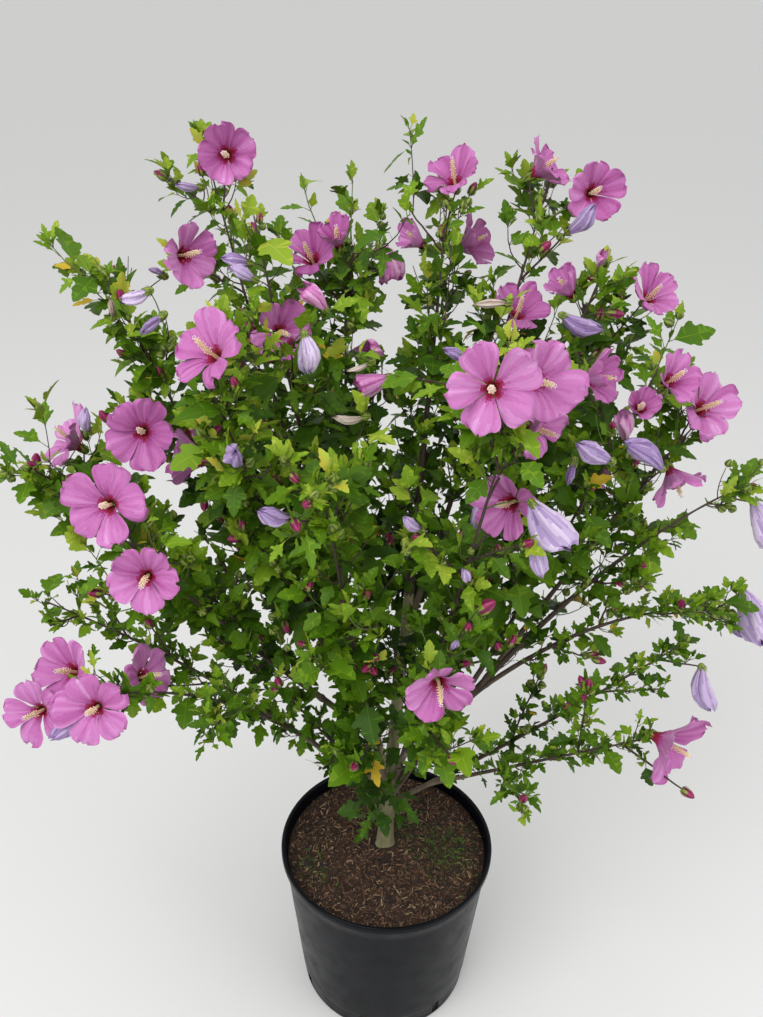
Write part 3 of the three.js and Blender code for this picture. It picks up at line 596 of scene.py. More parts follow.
def grow_shoots(limb, rng):
    """Shoots all along the stem, the twigs and the flowering twigs, each as long as its room allows."""
    # Curve, where its shoots start and stop, and their size
    carriers = [(limb.curve, limb.bare, 1.0, 0.8)]
    carriers += [(twig, 0.08, 0.95, 1.0) for twig in limb.twigs]
    carriers += [(twig, 0.1, 0.85, 0.8) for twig in flowering_twigs(limb)]
    for rank, (curve, start, stop, size) in enumerate(carriers):
        count = max(1, round(curve.length * (stop - start) / SHOOT.spacing))
        for i in range(count):
            share = start + (stop - start) * (i + rng.uniform(*SHOOT.place)) / count
            root, along = curve.at(share), curve.along(share)
            turn = rank + limb.order + i * GOLDEN_TURN + rng.uniform(-SHOOT.turn, SHOOT.turn)
            out = turned(curve.side, along, turn)
            full = rng.uniform(*SHOOT.length) * size * limb.vigour
            way = leaning(along, out, SHOOT.lean) + rng.uniform(-SHOOT.sway, SHOOT.sway, 3)
            for shortened in SHOOT.sizes:
                length = full * shortened
                shoot = Curve(root, root + leaning(along, out, SHOOT.bend) * length, root + way * length)
                if has_room(limb, shoot.at(SHOOT.probes)).all():
                    limb.shoots.append(shoot)
                    break


def leaf_at(curve, share, rank, young, spray, vigour, rng):
    """A leaf on its stalk, with the way it lies and its shape. Young is 0 for one that is grown."""
    root, along = curve.at(share), curve.along(share)
    out = turned(curve.side, along, rank * GOLDEN_TURN + rng.uniform(-LEAF.turn, LEAF.turn))
    stalk_way = unit(leaning(along, out, (LEAF.lean[0] + LEAF.young_lean * young, *LEAF.lean[1:])))
    if young:
        size = rng.uniform(*LEAF.young_size) * (1 - LEAF.young_taper * young)
    else:
        size = rng.choice(LEAF.sizes)
    length = rng.uniform(*LEAF.length) * size * (LEAF.least + (1 - LEAF.least) * min(1, vigour))
    droop = rng.uniform(*LEAF.droop) + LEAF.young_rise * young
    return SimpleNamespace(
        root=root, end=root + stalk_way * rng.uniform(*LEAF.stalk) * size, length=length,
        way=unit(stalk_way + upward(droop) + rng.normal(0, LEAF.stray, 3)),
        up=unit(np.array((rng.uniform(*LEAF.face_x), rng.uniform(*LEAF.face_y), 1.0)) + out * LEAF.face_out),
        width=rng.uniform(*LEAF.width), bend=rng.uniform(*LEAF.bend), fold=rng.uniform(*LEAF.fold),
        spray=spray, young=young)


def leaf_spots(limb, rng):
    """Curve, share, rank, youth and spray tone for each leaf that may grow."""
    spots = []
    carriers = {
        "stem": [limb.curve], "twig": limb.twigs + flowering_twigs(limb) + limb.stalks, "shoot": limb.shoots}
    for kind, curves in carriers.items():
        start = LEAF_START[kind] + (limb.bare if kind == "stem" else 0)
        for curve in curves:
            spray = rng.normal(0, 1)
            thinned = min(1, LEAF.thinned + limb.vigour)
            count = max(2, round(curve.length * (1 - start) / LEAF_STEP[kind] * thinned))
            for i in range(count):
                share = start + (LEAF.last - start) * i / (count - 1)
                young = 1.0 if kind != "stem" and i >= count - 2 else 0.0
                spots.append((curve, share, i, young, spray))
            if kind == "shoot":
                spots += [(curve, 1.0, count + k, LEAF.newest, spray) for k in range(2)]
    return spots


def grow_leaves(limb, rng):
    """Leaves on stalks, wherever one finds room."""
    found = [leaf_at(*spot, limb.vigour, rng) for spot in leaf_spots(limb, rng)]
    ends, ways, ups, lengths = attributes(found, "end", "way", "up", "length")
    lengths = lengths[:, None]
    sides = unit(np.cross(ups, ways))
    keep = np.ones(len(found), dtype=bool)
    for reach, across in LEAF_PROBES:
        points = ends + ways * lengths * reach + sides * lengths * across
        keep &= has_room(limb, points)
    taken = {}
    beside = (-1, 0, 1)
    for i in np.flatnonzero(keep):
        middle = ends[i] + ways[i] * lengths[i] * 0.5
        cell = tuple(np.floor(middle / LEAF.room).astype(int))
        near = [spot for dx in beside for dy in beside for dz in beside
                for spot in taken.get((cell[0] + dx, cell[1] + dy, cell[2] + dz), ())]
        if all(np.linalg.norm(spot - middle) > LEAF.room for spot in near):
            taken.setdefault(cell, []).append(middle)
            limb.leaves.append(found[i])


def grow_tufts(limb, rng):
    """Small leaves at the feet of the larger ones."""
    found = []
    for leaf in limb.leaves:
        for _ in range(rng.integers(0, TUFT.most + 1)):
            way = unit(leaf.way * 0.5 + rng.normal(0, TUFT.spread, 3) + upward(0.3))
            length = rng.uniform(*TUFT.length)
            found.append(SimpleNamespace(
                root=leaf.root, end=leaf.root + way * length * TUFT.stalk, way=way, length=length,
                up=unit(rng.normal(0, 0.5, 3) + np.array((0, -0.2, 1))), width=rng.uniform(*TUFT.width),
                bend=rng.uniform(*TUFT.bend), fold=rng.uniform(*TUFT.fold), spray=leaf.spray, young=0.5))
    tips = np.array([leaf.end + leaf.way * leaf.length for leaf in found]).reshape(-1, 3)
    limb.tufts = [leaf for leaf, kept in zip(found, has_room(limb, tips)) if kept]


def grow_sprouts(limb, rng):
    """Short leafy sprouts on the trunk itself."""
    for height, heading, length in SPROUTS:
        out = pointing(heading, 0)
        root = trunk.curve.at(height / TRUNK.height) + out * TRUNK.head_radius * 0.9
        shoot = Curve(root, root + out * length * 0.5, root + (out * 0.6 + upward(0.75)) * length)
        limb.shoots.append(shoot)
        spray = rng.normal(0.5, 1)
        for i in range(SPROUT_LEAVES):
            limb.leaves.append(leaf_at(shoot, 0.3 + 0.17 * i, i, 0.6 * (i > 2), spray, 0.5, rng))


for limb in limbs:
    rng = np.random.default_rng(100 + limb.order)
    grow_shoots(limb, rng)
    grow_leaves(limb, rng)
    if limb.name == "fork_left":
        grow_sprouts(limb, rng)
    grow_tufts(limb, rng)


# Meshes from arrays

class Heap:
    """Patches of one kind of thing, kept as arrays and joined into one mesh."""

    def __init__(self):
        self.corners, self.loops, self.sizes, self.tints, self.count = [], [], [], [], 0

    def add_faces(self, faces, first, tints=0):
        """Faces (F, 3 or more) whose corners count from the first one, with a material number for each."""
        faces = np.asarray(faces)
        self.loops.append((faces + first).ravel())
        self.sizes.append(np.full(len(faces), faces.shape[1]))
        self.tints.append(np.broadcast_to(tints, len(faces)))

    def add(self, corners, faces, tints=0):
        """One patch: corners (N, 3), and its faces with their material numbers."""
        corners = np.asarray(corners, dtype=float).reshape(-1, 3)
        self.corners.append(corners)
        self.add_faces(faces, self.count, tints)
        self.count += len(corners)

    def add_many(self, corners, faces, tints):
        """Like patches: corners (N, V, 3), the same faces (F, 3 or 4) in each, tints (N, F)."""
        count, each = corners.shape[:2]
        steps = np.arange(count)[:, None, None] * each
        self.add(corners, (faces[None] + steps).reshape(-1, faces.shape[1]), np.asarray(tints).ravel())

    def add_grid(self, corners, tints=0, closed=True):
        """A sheet of corners (rows, columns, 3), closed round its columns or open."""
        self.add(corners, grid_faces(*corners.shape[:2], closed), np.ravel(tints))

    def close(self, sides, tip, tint=0):
        """Triangles from the last ring of corners to a tip."""
        ring = np.arange(sides)
        faces = np.stack([ring, np.roll(ring, -1), np.full(sides, sides)], axis=1) - sides
        self.add(tip, faces, tint)

    def mesh(self, name, materials, smooth=True):
        """The joined mesh as an object that stands in the scene."""
        corners, loops = np.concatenate(self.corners) * MM, np.concatenate(self.loops)
        sizes, tints = np.concatenate(self.sizes), np.concatenate(self.tints)
        mesh = bpy.data.meshes.new(name)
        mesh.vertices.add(len(corners))
        mesh.vertices.foreach_set("co", corners.astype(np.float32).ravel())
        mesh.loops.add(len(loops))
        mesh.loops.foreach_set("vertex_index", loops.astype(np.int32))
        mesh.polygons.add(len(sizes))
        starts = np.concatenate(([0], np.cumsum(sizes)[:-1]))
        mesh.polygons.foreach_set("loop_start", starts.astype(np.int32))
        mesh.polygons.foreach_set("loop_total", sizes.astype(np.int32))
        for material in materials:
            mesh.materials.append(material)
        mesh.polygons.foreach_set("material_index", tints.astype(np.int32))
        mesh.polygons.foreach_set("use_smooth", np.full(len(sizes), smooth))
        mesh.update(calc_edges=True)
        piece = bpy.data.objects.new(name, mesh)
        bpy.context.scene.collection.objects.link(piece)
        return piece


def grid_faces(rows, columns, closed):
    """Faces of a grid of rows by columns of corners, closed round its columns or open."""
    across = columns if closed else columns - 1
    row, column = np.meshgrid(np.arange(rows - 1), np.arange(across), indexing="ij")
    corner = row * columns + column
    beside = row * columns + (column + 1) % columns
    return np.stack([corner, beside, beside + columns, corner + columns], axis=-1).reshape(-1, 4)


def add_tube(heap, spots, radii, sides, tint, side):
    """A tube through the spots, closed at its far end. Its rings share one vector as far as they can."""
    ways = unit(np.gradient(spots, axis=0))
    first = unit(side - ways * (ways @ side)[:, None])
    second = np.cross(ways, first)
    turns = circle(sides)[:, None]
    ring = first[:, None] * np.cos(turns) + second[:, None] * np.sin(turns)
    heap.add_grid(spots[:, None] + ring * np.asarray(radii)[:, None, None], tint)
    heap.close(sides, spots[-1] + ways[-1] * radii[-1], tint)


def frames(ways, ups):
    """Axes for things that lie along a way and face up: way, side and top as rows."""
    ways = unit(ways)
    sides = unit(np.cross(ups, ways))
    return np.stack([ways, sides, np.cross(ways, sides)], axis=-2)


# Materials

# Of the noise that makes the roughness: the part of its range that counts, and how much it changes
GRAIN = SimpleNamespace(detail=5, low=0.3, high=0.7, spread=0.08)
# Of the larger noise that deals out tones
PATCHES = SimpleNamespace(size=0.35, detail=6, roughness=0.65, first=0.32, width=0.36)


def linear(colour):
    """A colour given as RRGGBB, in linear light."""
    parts = [int(colour[i:i + 2], 16) / 255 for i in (0, 2, 4)]
    return [part / 12.92 if part <= 0.04045 else ((part + 0.055) / 1.055) ** 2.4 for part in parts] + [1]


def set_sockets(node, **values):
    for socket, value in values.items():
        node.inputs[socket.replace("_", " ").title().replace("Ior", "IOR")].default_value = value


def add_node(tree, kind, **values):
    node = tree.nodes.new(f"ShaderNode{kind}")
    set_sockets(node, **values)
    return node


def add_tones(tree, vector, grain, tones):
    """Patches of several tones for the base colour."""
    patches = add_node(
        tree, "TexNoise", scale=PATCHES.size / grain, detail=PATCHES.detail, roughness=PATCHES.roughness)
    ramp = add_node(tree, "ValToRGB")
    stops = ramp.color_ramp.elements
    while len(stops) < len(tones):
        stops.new(0.5)
    for i, tone in enumerate(tones):
        stops[i].position = PATCHES.first + PATCHES.width * i / (len(tones) - 1)
        stops[i].color = linear(tone)
    tree.links.new(vector, patches.inputs["Vector"])
    tree.links.new(patches.outputs["Fac"], ramp.inputs["Fac"])
    tree.links.new(ramp.outputs["Color"], tree.nodes["Principled BSDF"].inputs["Base Color"])


def material(name, colour, roughness, grain, bump, stretch=(1, 1, 1), tones=(), **sockets):
    """A surface with a grain: bump and roughness from noise, and with tones, colour too.
    Grain is the size in metres of its noise, and bump the height of it."""
    made = bpy.data.materials.new(name)
    made.use_nodes = True
    tree = made.node_tree
    link = tree.links.new
    shader = tree.nodes["Principled BSDF"]
    set_sockets(shader, base_color=linear(colour), **sockets)
    place = add_node(tree, "TexCoord")
    mapping = add_node(tree, "Mapping", scale=stretch)
    noise = add_node(tree, "TexNoise", scale=1 / grain, detail=GRAIN.detail)
    height = add_node(tree, "Bump", distance=bump)
    rough = add_node(
        tree, "MapRange", from_min=GRAIN.low, from_max=GRAIN.high,
        to_min=roughness - GRAIN.spread, to_max=roughness + GRAIN.spread)
    link(place.outputs["Object"], mapping.inputs["Vector"])
    link(mapping.outputs["Vector"], noise.inputs["Vector"])
    link(noise.outputs["Fac"], height.inputs["Height"])
    link(height.outputs["Normal"], shader.inputs["Normal"])
    link(noise.outputs["Fac"], rough.inputs["Value"])
    link(rough.outputs["Result"], shader.inputs["Roughness"])
    if tones:
        add_tones(tree, mapping.outputs["Vector"], grain, tones)
    return made


def palette(stem, colours, *surface, **sockets):
    """The same surface in several colours."""
    return [material(f"{stem}_{i}", colour, *surface, **sockets) for i, colour in enumerate(colours)]


LEAF_GREENS = ("1c3404", "284606", "345608", "44680a", "567c10", "6e9018", "88a22a", "a6b440", "c8aa30")
PETAL_TONES = ("94307c", "9f3e89", "aa4c95", "b45aa1", "bd67ac", "c574b6", "cd84c1", "d896cf", "e4b0de")
EYE_TONES = ("8c0e32", "a01e48", "a8327a")
WILTED_TONES = {
    "violet": ("6c5084", "82669b", "987db1", "ae95c5", "c5afd7"),
    "limp": ("75598c", "8f74a7", "a890be", "c1abd3", "d9c7e4"),
    "pink": ("a8438f", "ba5aa3", "ca73b3", "d88dc4", "e4aed6"),
    "dry": ("5e4436", "7c6254", "998375", "b5a294", "cfc1b4"),
}
CHIP_TONES = ("2e1e16", "472f21", "5f4231", "785a40", "9e8567", "19120e", "2f4a14", "4a6e1e")
ALONG = (1, 1, 0.3)  # stretches the grain of wood along its height

leaf_materials = palette("leaf", LEAF_GREENS, 0.52, 0.004, 0.0004, specular_ior_level=0.2)
petal_materials = (palette("petal", PETAL_TONES, 0.6, 0.0025, 0.00025, sheen_weight=0.15)
                   + palette("petal_eye", EYE_TONES, 0.55, 0.002, 0.0002))
wilted_materials = [one for kind, tones in WILTED_TONES.items()
                    for one in palette(f"wilted_{kind}", tones, 0.65, 0.002, 0.0005, sheen_weight=0.1)]
bud_materials = [
    material("bud_green", "86983a", 0.55, 0.003, 0.0003),
    material("bud_dark_green", "506420", 0.55, 0.003, 0.0003),
    material("bud_magenta", "a3215f", 0.45, 0.002, 0.0003),
    material("bud_dark_magenta", "6d1240", 0.5, 0.002, 0.0003),
]
heart_materials = [
    material("column_cream", "f0dca4", 0.6, 0.001, 0.0002),
    material("column_anthers", "f6e2bf", 0.8, 0.001, 0.0004),
    material("column_stigma", "f3d9e6", 0.5, 0.001, 0.0002),
]
twig_materials = [
    material("twig_brown", "4a3a32", 0.7, 0.004, 0.0006, ALONG),
    material("twig_purple", "442f2f", 0.6, 0.004, 0.0004, ALONG),
    material("twig_green", "5b6d2b", 0.6, 0.004, 0.0003, ALONG),
]
bark_materials = [
    material("bark_trunk", "8b8168", 0.8, 0.012, 0.0012, stretch=(1, 1, 0.25),
             tones=("57573a", "706f4e", "8a8764", "a3a07c")),
    material("bark_bough", "5f5344", 0.78, 0.010, 0.0010, stretch=(1, 1, 0.25),
             tones=("443a30", "5a4e40", "706351", "877b66")),
]
# Material numbers in those lists
SEPAL, SEPAL_EDGE, FURLED_PETAL, FURLED_EDGE = range(len(bud_materials))
CREAM, ANTHER, STIGMA = range(len(heart_materials))
BROWN, PURPLE, GREEN = range(len(twig_materials))


# Leaves

# Half outlines along the midrib, from the stalk to the tip, in hundredths of the leaf's
# length: three lobes with coarse teeth
LEAF_OUTLINES = np.array([
    [(0, 0), (11, 5), (22, 15), (29, 26), (36, 26), (43, 35), (50, 38), (55, 34),
     (53, 26), (56, 18), (65, 20), (73, 22), (77, 15), (87, 13), (95, 7), (100, 0)],
    [(0, 0), (9, 9), (19, 21), (27, 31), (34, 30), (40, 37), (48, 40), (55, 36),
     (54, 29), (59, 22), (67, 24), (74, 25), (79, 18), (87, 15), (95, 8), (100, 0)],
    [(0, 0), (13, 3), (26, 9), (32, 19), (39, 18), (46, 29), (53, 31), (56, 27),
     (53, 19), (55, 11), (65, 13), (73, 17), (76, 11), (86, 10), (95, 5), (100, 0)],
]) / 100
TUFT_OUTLINES = np.array([
    [(0, 0), (18, 15), (36, 32), (47, 26), (60, 18), (86, 13), (100, 0)],
    [(0, 0), (20, 18), (36, 27), (52, 22), (68, 21), (89, 11), (100, 0)],
]) / 100
RIB_HALF = 0.014
RIB_TAPER = 0.7
RIPPLE = SimpleNamespace(height=0.07, turns=9, sides=2)  # of a blade, where it is wide
BEND_SHORTENS = 0.12  # how much shorter a blade looks that is bent by its own length
STALK_SIDES = 3
STALK_RADII = (0.75, 0.45)
PURPLE_STALKS = 0.3  # share of them
# The crown's middle, and the lengths over which the painted light and shade on its leaves change
CROWN = SimpleNamespace(middle_y=80, middle_z=850, height=600, reach=250, depth=300)
# Which green, and what shifts it: painted light up and out, painted shade to the back, and the leaves' own
# colour by spray, young, at random
LEAF_GREEN_AND_PAINTED_LIGHT = SimpleNamespace(middle=3.05, up=2.0, out=0.4, back=0.8, spray=0.65, young=1.1, stray=0.7)
YELLOW = SimpleNamespace(tint=8, share=0.006)
LIGHTER_FACES = 0.12  # share of a leaf's faces that are one green lighter


def strip(lower, upper):
    """Triangles between two chains of corners that run the same way, given as (number, x)."""
    faces = []
    i = j = 0
    while i + 1 < len(lower) or j + 1 < len(upper):
        if j + 1 == len(upper) or (i + 1 < len(lower) and lower[i + 1][1] <= upper[j + 1][1]):
            faces.append((lower[i][0], lower[i + 1][0], upper[j][0]))
            i += 1
        else:
            faces.append((lower[i][0], upper[j + 1][0], upper[j][0]))
            j += 1
    return faces


def leaf_pattern(outlines, ribs):
    """Corners of each outline as (x, y), with the faces and how many of them are the rib."""
    rib_x = np.linspace(0, 1, ribs)
    rims = outlines.shape[1] - 2
    left = [(i, x) for i, x in enumerate(rib_x)]
    right = [(ribs + i, x) for i, x in enumerate(rib_x)]
    left_rim = [(2 * ribs + i, x) for i, x in enumerate(outlines[0, 1:-1, 0])]
    right_rim = [(number + rims, x) for number, x in left_rim]
    rib_faces = [face for i in range(ribs - 1) for face in
                 ((i, i + 1, ribs + i), (i + 1, ribs + i + 1, ribs + i))]
    faces = rib_faces + [face[::-1] for face in strip(left, left_rim)] + strip(right, right_rim)
    half = RIB_HALF * (1 - RIB_TAPER * rib_x)
    corners = [np.vstack([np.stack([rib_x, half], axis=1), np.stack([rib_x, -half], axis=1),
                          outline[1:-1], outline[1:-1] * (1, -1)]) for outline in outlines]
    return np.array(corners), np.array(faces), len(rib_faces)


def leaf_tints(leaves, rng):
    """Which green: lighter up and out and darker low, inside and to the back as painted light and shade, and
    one spray apart from the next.
    """
    x, y, z = attributes(leaves, "root")[0].T
    out = np.hypot(x, y - CROWN.middle_y)
    # Painted light and shade: lighter high up and out at the crown's edge, darker low, inside and to the
    # back
    shade = LEAF_GREEN_AND_PAINTED_LIGHT.middle + LEAF_GREEN_AND_PAINTED_LIGHT.up * (z - CROWN.middle_z) / CROWN.height
    shade = shade + LEAF_GREEN_AND_PAINTED_LIGHT.out * (out - CROWN.reach) / CROWN.reach - LEAF_GREEN_AND_PAINTED_LIGHT.back * y / CROWN.depth
    shade += np.array([LEAF_GREEN_AND_PAINTED_LIGHT.spray * leaf.spray + LEAF_GREEN_AND_PAINTED_LIGHT.young * leaf.young for leaf in leaves])
    shade += rng.normal(0, LEAF_GREEN_AND_PAINTED_LIGHT.stray, len(leaves))
    tints = np.clip(np.round(shade), 0, YELLOW.tint - 1).astype(int)
    return np.where(rng.uniform(size=len(leaves)) < YELLOW.share, YELLOW.tint, tints)


def add_leaves(blades, stalks, leaves, pattern, rng):
    """Blades in one heap and their stalks in another."""
    patterns, faces, rib_count = pattern
    count = len(leaves)
    ways, ups, roots, ends = attributes(leaves, "way", "up", "root", "end")
    length, width, bend, fold = (
        values[:, None] for values in attributes(leaves, "length", "width", "bend", "fold"))
    flat = patterns[rng.integers(0, len(patterns), count)]
    wave = rng.uniform(0, 2 * math.pi, (count, 1))
    x, y = flat[..., 0], flat[..., 1] * width
    ripple = RIPPLE.height * np.abs(y) * np.sin(RIPPLE.turns * x + wave + RIPPLE.sides * np.sign(y))
    z = fold * np.abs(y) - bend * x ** 2 - 0.5 * bend * y ** 2 + ripple
    local = np.stack([x * (1 - BEND_SHORTENS * bend), y, z], axis=-1) * length[..., None]
    axes = frames(ways, ups)
    tints = leaf_tints(leaves, rng)[:, None] + (rng.uniform(size=(count, len(faces))) < LIGHTER_FACES)
    tints[:, :rib_count] += 1
    blades.add_many(local @ axes + ends[:, None], faces, np.clip(tints, 0, len(LEAF_GREENS) - 1))
    turns = circle(STALK_SIDES)[:, None]
    ring = axes[:, 1, None] * np.cos(turns) + axes[:, 2, None] * np.sin(turns)
    tips = (ends + axes[:, 0])[:, None]
    tube = np.concatenate([roots[:, None] + ring * STALK_RADII[0], tips + ring * STALK_RADII[1]], axis=1)
    tint = np.where(rng.uniform(size=(count, 1)) < PURPLE_STALKS, PURPLE, GREEN)
    stalks.add_many(tube, grid_faces(2, STALK_SIDES, True), np.repeat(tint, STALK_SIDES, axis=1))


# Blooms

def bloom_axes(way, roll):
    """Rows: two axes across the bloom, and the way it faces."""
    across = unit(np.cross(way, (0.3, 0.2, 1.0) if abs(way[2]) < 0.9 else (1.0, 0.2, 0.1)))
    across = turned(across, way, roll)
    return np.stack([across, np.cross(way, across), way])


# Along a petal: how far out it is, how high, and half of its angle in radians
PETAL_STEPS = (0, 0.18, 0.36, 0.54, 0.72, 0.86, 0.95, 1)
PETAL_REACH = (0.06, 0.15, 0.33, 0.53, 0.74, 0.90, 0.98, 1.0)
PETAL_HEIGHT = (-0.52, -0.31, -0.14, -0.02, 0.06, 0.10, 0.11, 0.10)
PETAL_SPAN = (0.58, 0.61, 0.64, 0.66, 0.64, 0.56, 0.43, 0.20)
# What shapes a petal, mostly as shares of the bloom's size
PETAL = SimpleNamespace(
    rows=18, columns=21, blade_from=0.3, length=(0.9, 1.07), width=(0.94, 1.06), turn=0.07,
    droop=0.2, hang=0.16, twist=0.04, more_twist=(-0.03, 0.07), cup=0.07,
    shut_in=0.5, shut_up=0.62, shut_wide=0.15, wave=0.03, ragged=0.045, ragged_spots=11,
    ruffle=0.06, fine_ruffle=0.03, curl=0.09, vein=0.011, vein_turns=25)
# Which tone, and what shifts it; and the dark eye's reach along the petal, with the zones round it
PETAL_SHADE = SimpleNamespace(
    middle=3.3, tip=1.6, vein=0.75, tone=3, usual_tone=0.2, stray=0.8, rim=0.8, rim_from=0.95)
EYE = SimpleNamespace(reach=0.19, wave=0.07, ray=0.025, rim=0.05, glow=0.05, glow_gap=0.03, halo=0.16)
PETAL_SHARE = np.linspace(0, 1, PETAL.rows)[:, None]
PETAL_ACROSS = np.linspace(-1, 1, PETAL.columns)[None]
PETAL_EYE = len(PETAL_TONES)  # material number of the darkest tone of the eye


def petal_form(closed, slim, turn, down, rng):
    """Corners of one petal for a bloom of size 1 that faces up."""
    share, across = PETAL_SHARE, PETAL_ACROSS
    outer = np.clip((share - PETAL.blade_from) / (1 - PETAL.blade_from), 0, 1)
    droop = rng.uniform(-PETAL.droop, PETAL.droop) + PETAL.hang * down
    twist = PETAL.twist + rng.uniform(*PETAL.more_twist)
    waves = rng.uniform(0, 2 * math.pi, 4)
    long = rng.uniform(*PETAL.length)
    shut = 1 - PETAL.shut_in * closed * outer ** 0.8
    radius = np.interp(share, PETAL_STEPS, PETAL_REACH) * shut * long
    radius = radius * (1 + PETAL.wave * outer ** 3 * np.sin(4 * across + waves[0]))
    edge = np.linspace(-1, 1, PETAL.ragged_spots)
    ragged = np.interp(across, edge, rng.uniform(-1, 1, PETAL.ragged_spots))
    radius = radius + PETAL.ragged * outer ** 5 * ragged
    lift = np.interp(share, PETAL_STEPS, PETAL_HEIGHT) + closed * PETAL.shut_up * share
    lift = lift - droop * outer ** 1.5 + twist * across * outer ** 0.5
    lift = lift - PETAL.cup * across ** 2 * outer * (1 - 2 * closed)
    ruffle = PETAL.ruffle * np.sin(3.6 * across + waves[1])
    ruffle = ruffle + PETAL.fine_ruffle * np.sin(9 * across + waves[2])
    lift = lift + outer ** 2 * ruffle
    lift = lift + PETAL.curl * outer * np.abs(across) ** 3 * np.sin(9 * share + waves[3] + across)
    veins = PETAL.vein * np.cos(across * PETAL.vein_turns + waves[3])
    lift = lift + veins * np.minimum(1, 3 * share) * (1 - 0.4 * share)
    span = np.interp(share, PETAL_STEPS, PETAL_SPAN) * slim * (1 + PETAL.shut_wide * closed)
    angle = across * span * rng.uniform(*PETAL.width) + turn + rng.uniform(-PETAL.turn, PETAL.turn)
    return around(radius, angle, lift)


def petal_tints(tone, rng):
    """Which tone each face has: streaks along the petal, and a dark eye whose rays run out into it."""
    share = (PETAL_SHARE[:-1] + PETAL_SHARE[1:]) / 2
    across = (PETAL_ACROSS[:, :-1] + PETAL_ACROSS[:, 1:]) / 2
    vein = np.convolve(rng.normal(0, 1, PETAL.columns + 1), (0.5, 0.7, 0.5), "valid")
    mix = PETAL_SHADE
    shade = mix.middle + mix.tip * share + mix.vein * vein + mix.tone * (tone - mix.usual_tone)
    shade = shade + rng.uniform(-mix.stray, mix.stray) - mix.rim * (share > mix.rim_from)
    tints = np.clip(np.round(shade), 0, PETAL_EYE - 1).astype(int)
    rays = EYE.reach + EYE.wave * np.cos(across * 1.5) + EYE.ray * vein
    tints = np.where((share < rays + EYE.halo) & (vein < 0), np.maximum(tints - 1, 1), tints)
    tints = np.where(share < rays + EYE.glow - EYE.glow_gap * (vein > 0), PETAL_EYE + 2, tints)
    tints = np.where(share < rays, PETAL_EYE + 1, tints)
    return np.where(share < rays - EYE.rim, PETAL_EYE, tints)


def add_petals(heap, bloom, size, rng):
    """Five petals, each over one neighbour and under the other."""
    slim = rng.uniform(0.92, 1.04)
    axes = bloom_axes(bloom.way, rng.uniform(0, 2 * math.pi))
    for turn in circle(5):
        down = -axes[0, 2] * math.cos(turn) - axes[1, 2] * math.sin(turn)
        local = petal_form(bloom.closed, slim, turn, down, rng) * size
        heap.add_grid(bloom.middle + local @ axes, petal_tints(bloom.tone, rng), closed=False)
    return axes


# The stamen column: where it starts and ends as shares of the bloom's size, and what it carries
COLUMN = SimpleNamespace(
    foot=-0.42, top=0.5, lean=0.12, rings=7, radii=(2.4, 1.2), anthers=64, first=0.36, span=0.6,
    thread=(2.6, 4.8), thread_radii=(0.25, 0.2), thread_rise=0.45, anther=(0.95, 1.45),
    stigmas=5, stigma=1.1, stigma_radius=0.3, stigma_out=2.2, stigma_up=3.2)
BLOB = np.array([(1, 0, 0), (0, 1, 0), (-1, 0, 0), (0, -1, 0), (0, 0, 1), (0, 0, -1)], dtype=float)
BLOB_FACES = np.array([
    (0, 1, 4), (1, 2, 4), (2, 3, 4), (3, 0, 4), (1, 0, 5), (2, 1, 5), (3, 2, 5), (0, 3, 5)])


def add_column(heap, bloom, axes, size, rng):
    """The stamen column: a tapered tube, its anthers on short threads, and five stigmas."""
    foot, long = COLUMN.foot * size, COLUMN.top * size
    lean = rng.uniform(-COLUMN.lean, COLUMN.lean, 2)

    def on_column(height):
        bow = (height - foot) / (long - foot)
        return np.array((lean[0] * bow ** 2 * size, lean[1] * bow ** 2 * size, height))

    def add_thread(root, end, radii, tint):
        add_tube(heap, np.array([root, end]) @ axes + bloom.middle, radii, 3, tint, axes[2] + 0.1)

    spots = np.array([on_column(height) for height in np.linspace(foot, long, COLUMN.rings)])
    radii = np.linspace(*COLUMN.radii, COLUMN.rings)
    add_tube(heap, spots @ axes + bloom.middle, radii, 7, CREAM, axes[0])
    for i in range(COLUMN.anthers):
        bow = i / COLUMN.anthers
        out = around(1, i * GOLDEN_TURN, COLUMN.thread_rise)
        root = on_column(foot + (long - foot) * (COLUMN.first + COLUMN.span * bow))
        end = root + out * rng.uniform(*COLUMN.thread) * (1 - 0.35 * bow)
        add_thread(root, end, COLUMN.thread_radii, CREAM)
        anther = BLOB * rng.uniform(*COLUMN.anther, 3)
        heap.add(end @ axes + bloom.middle + anther, BLOB_FACES, ANTHER)
    top = on_column(long)
    for turn in circle(COLUMN.stigmas):
        end = top + around(COLUMN.stigma_out, turn, COLUMN.stigma_up)
        add_thread(top, end, (COLUMN.stigma_radius, COLUMN.stigma_radius), STIGMA)
        heap.add(end @ axes + bloom.middle + BLOB * COLUMN.stigma, BLOB_FACES, STIGMA)


BRACT = SimpleNamespace(half=0.9, foot=3.4, tip=9.5, rise=(8, 12), bow=1.6, turn=0.2)
# Widths along a calyx and along a bud, as (share of its length, radius)
CALYX_STEPS, CALYX_RADII = (0, 0.12, 0.35, 0.7, 1), (1.0, 4.2, 6.0, 6.6, 7.6)
BUD_STEPS, BUD_RADII = (0, 0.1, 0.35, 0.6, 0.85, 1), (0.4, 4.4, 6.4, 5.7, 3.4, 0.3)
CALYX = SimpleNamespace(
    columns=20, rings=np.array((0, 0.12, 0.35, 0.6, 0.8, 1.0))[:, None],
    notch=11, lobe=8, drop=2, bracts=8)
BUD = SimpleNamespace(
    columns=10, rows=8, ripe_length=22, green_length=14, twist=3.0, rib=0.1, bracts=7, bract_size=0.8)


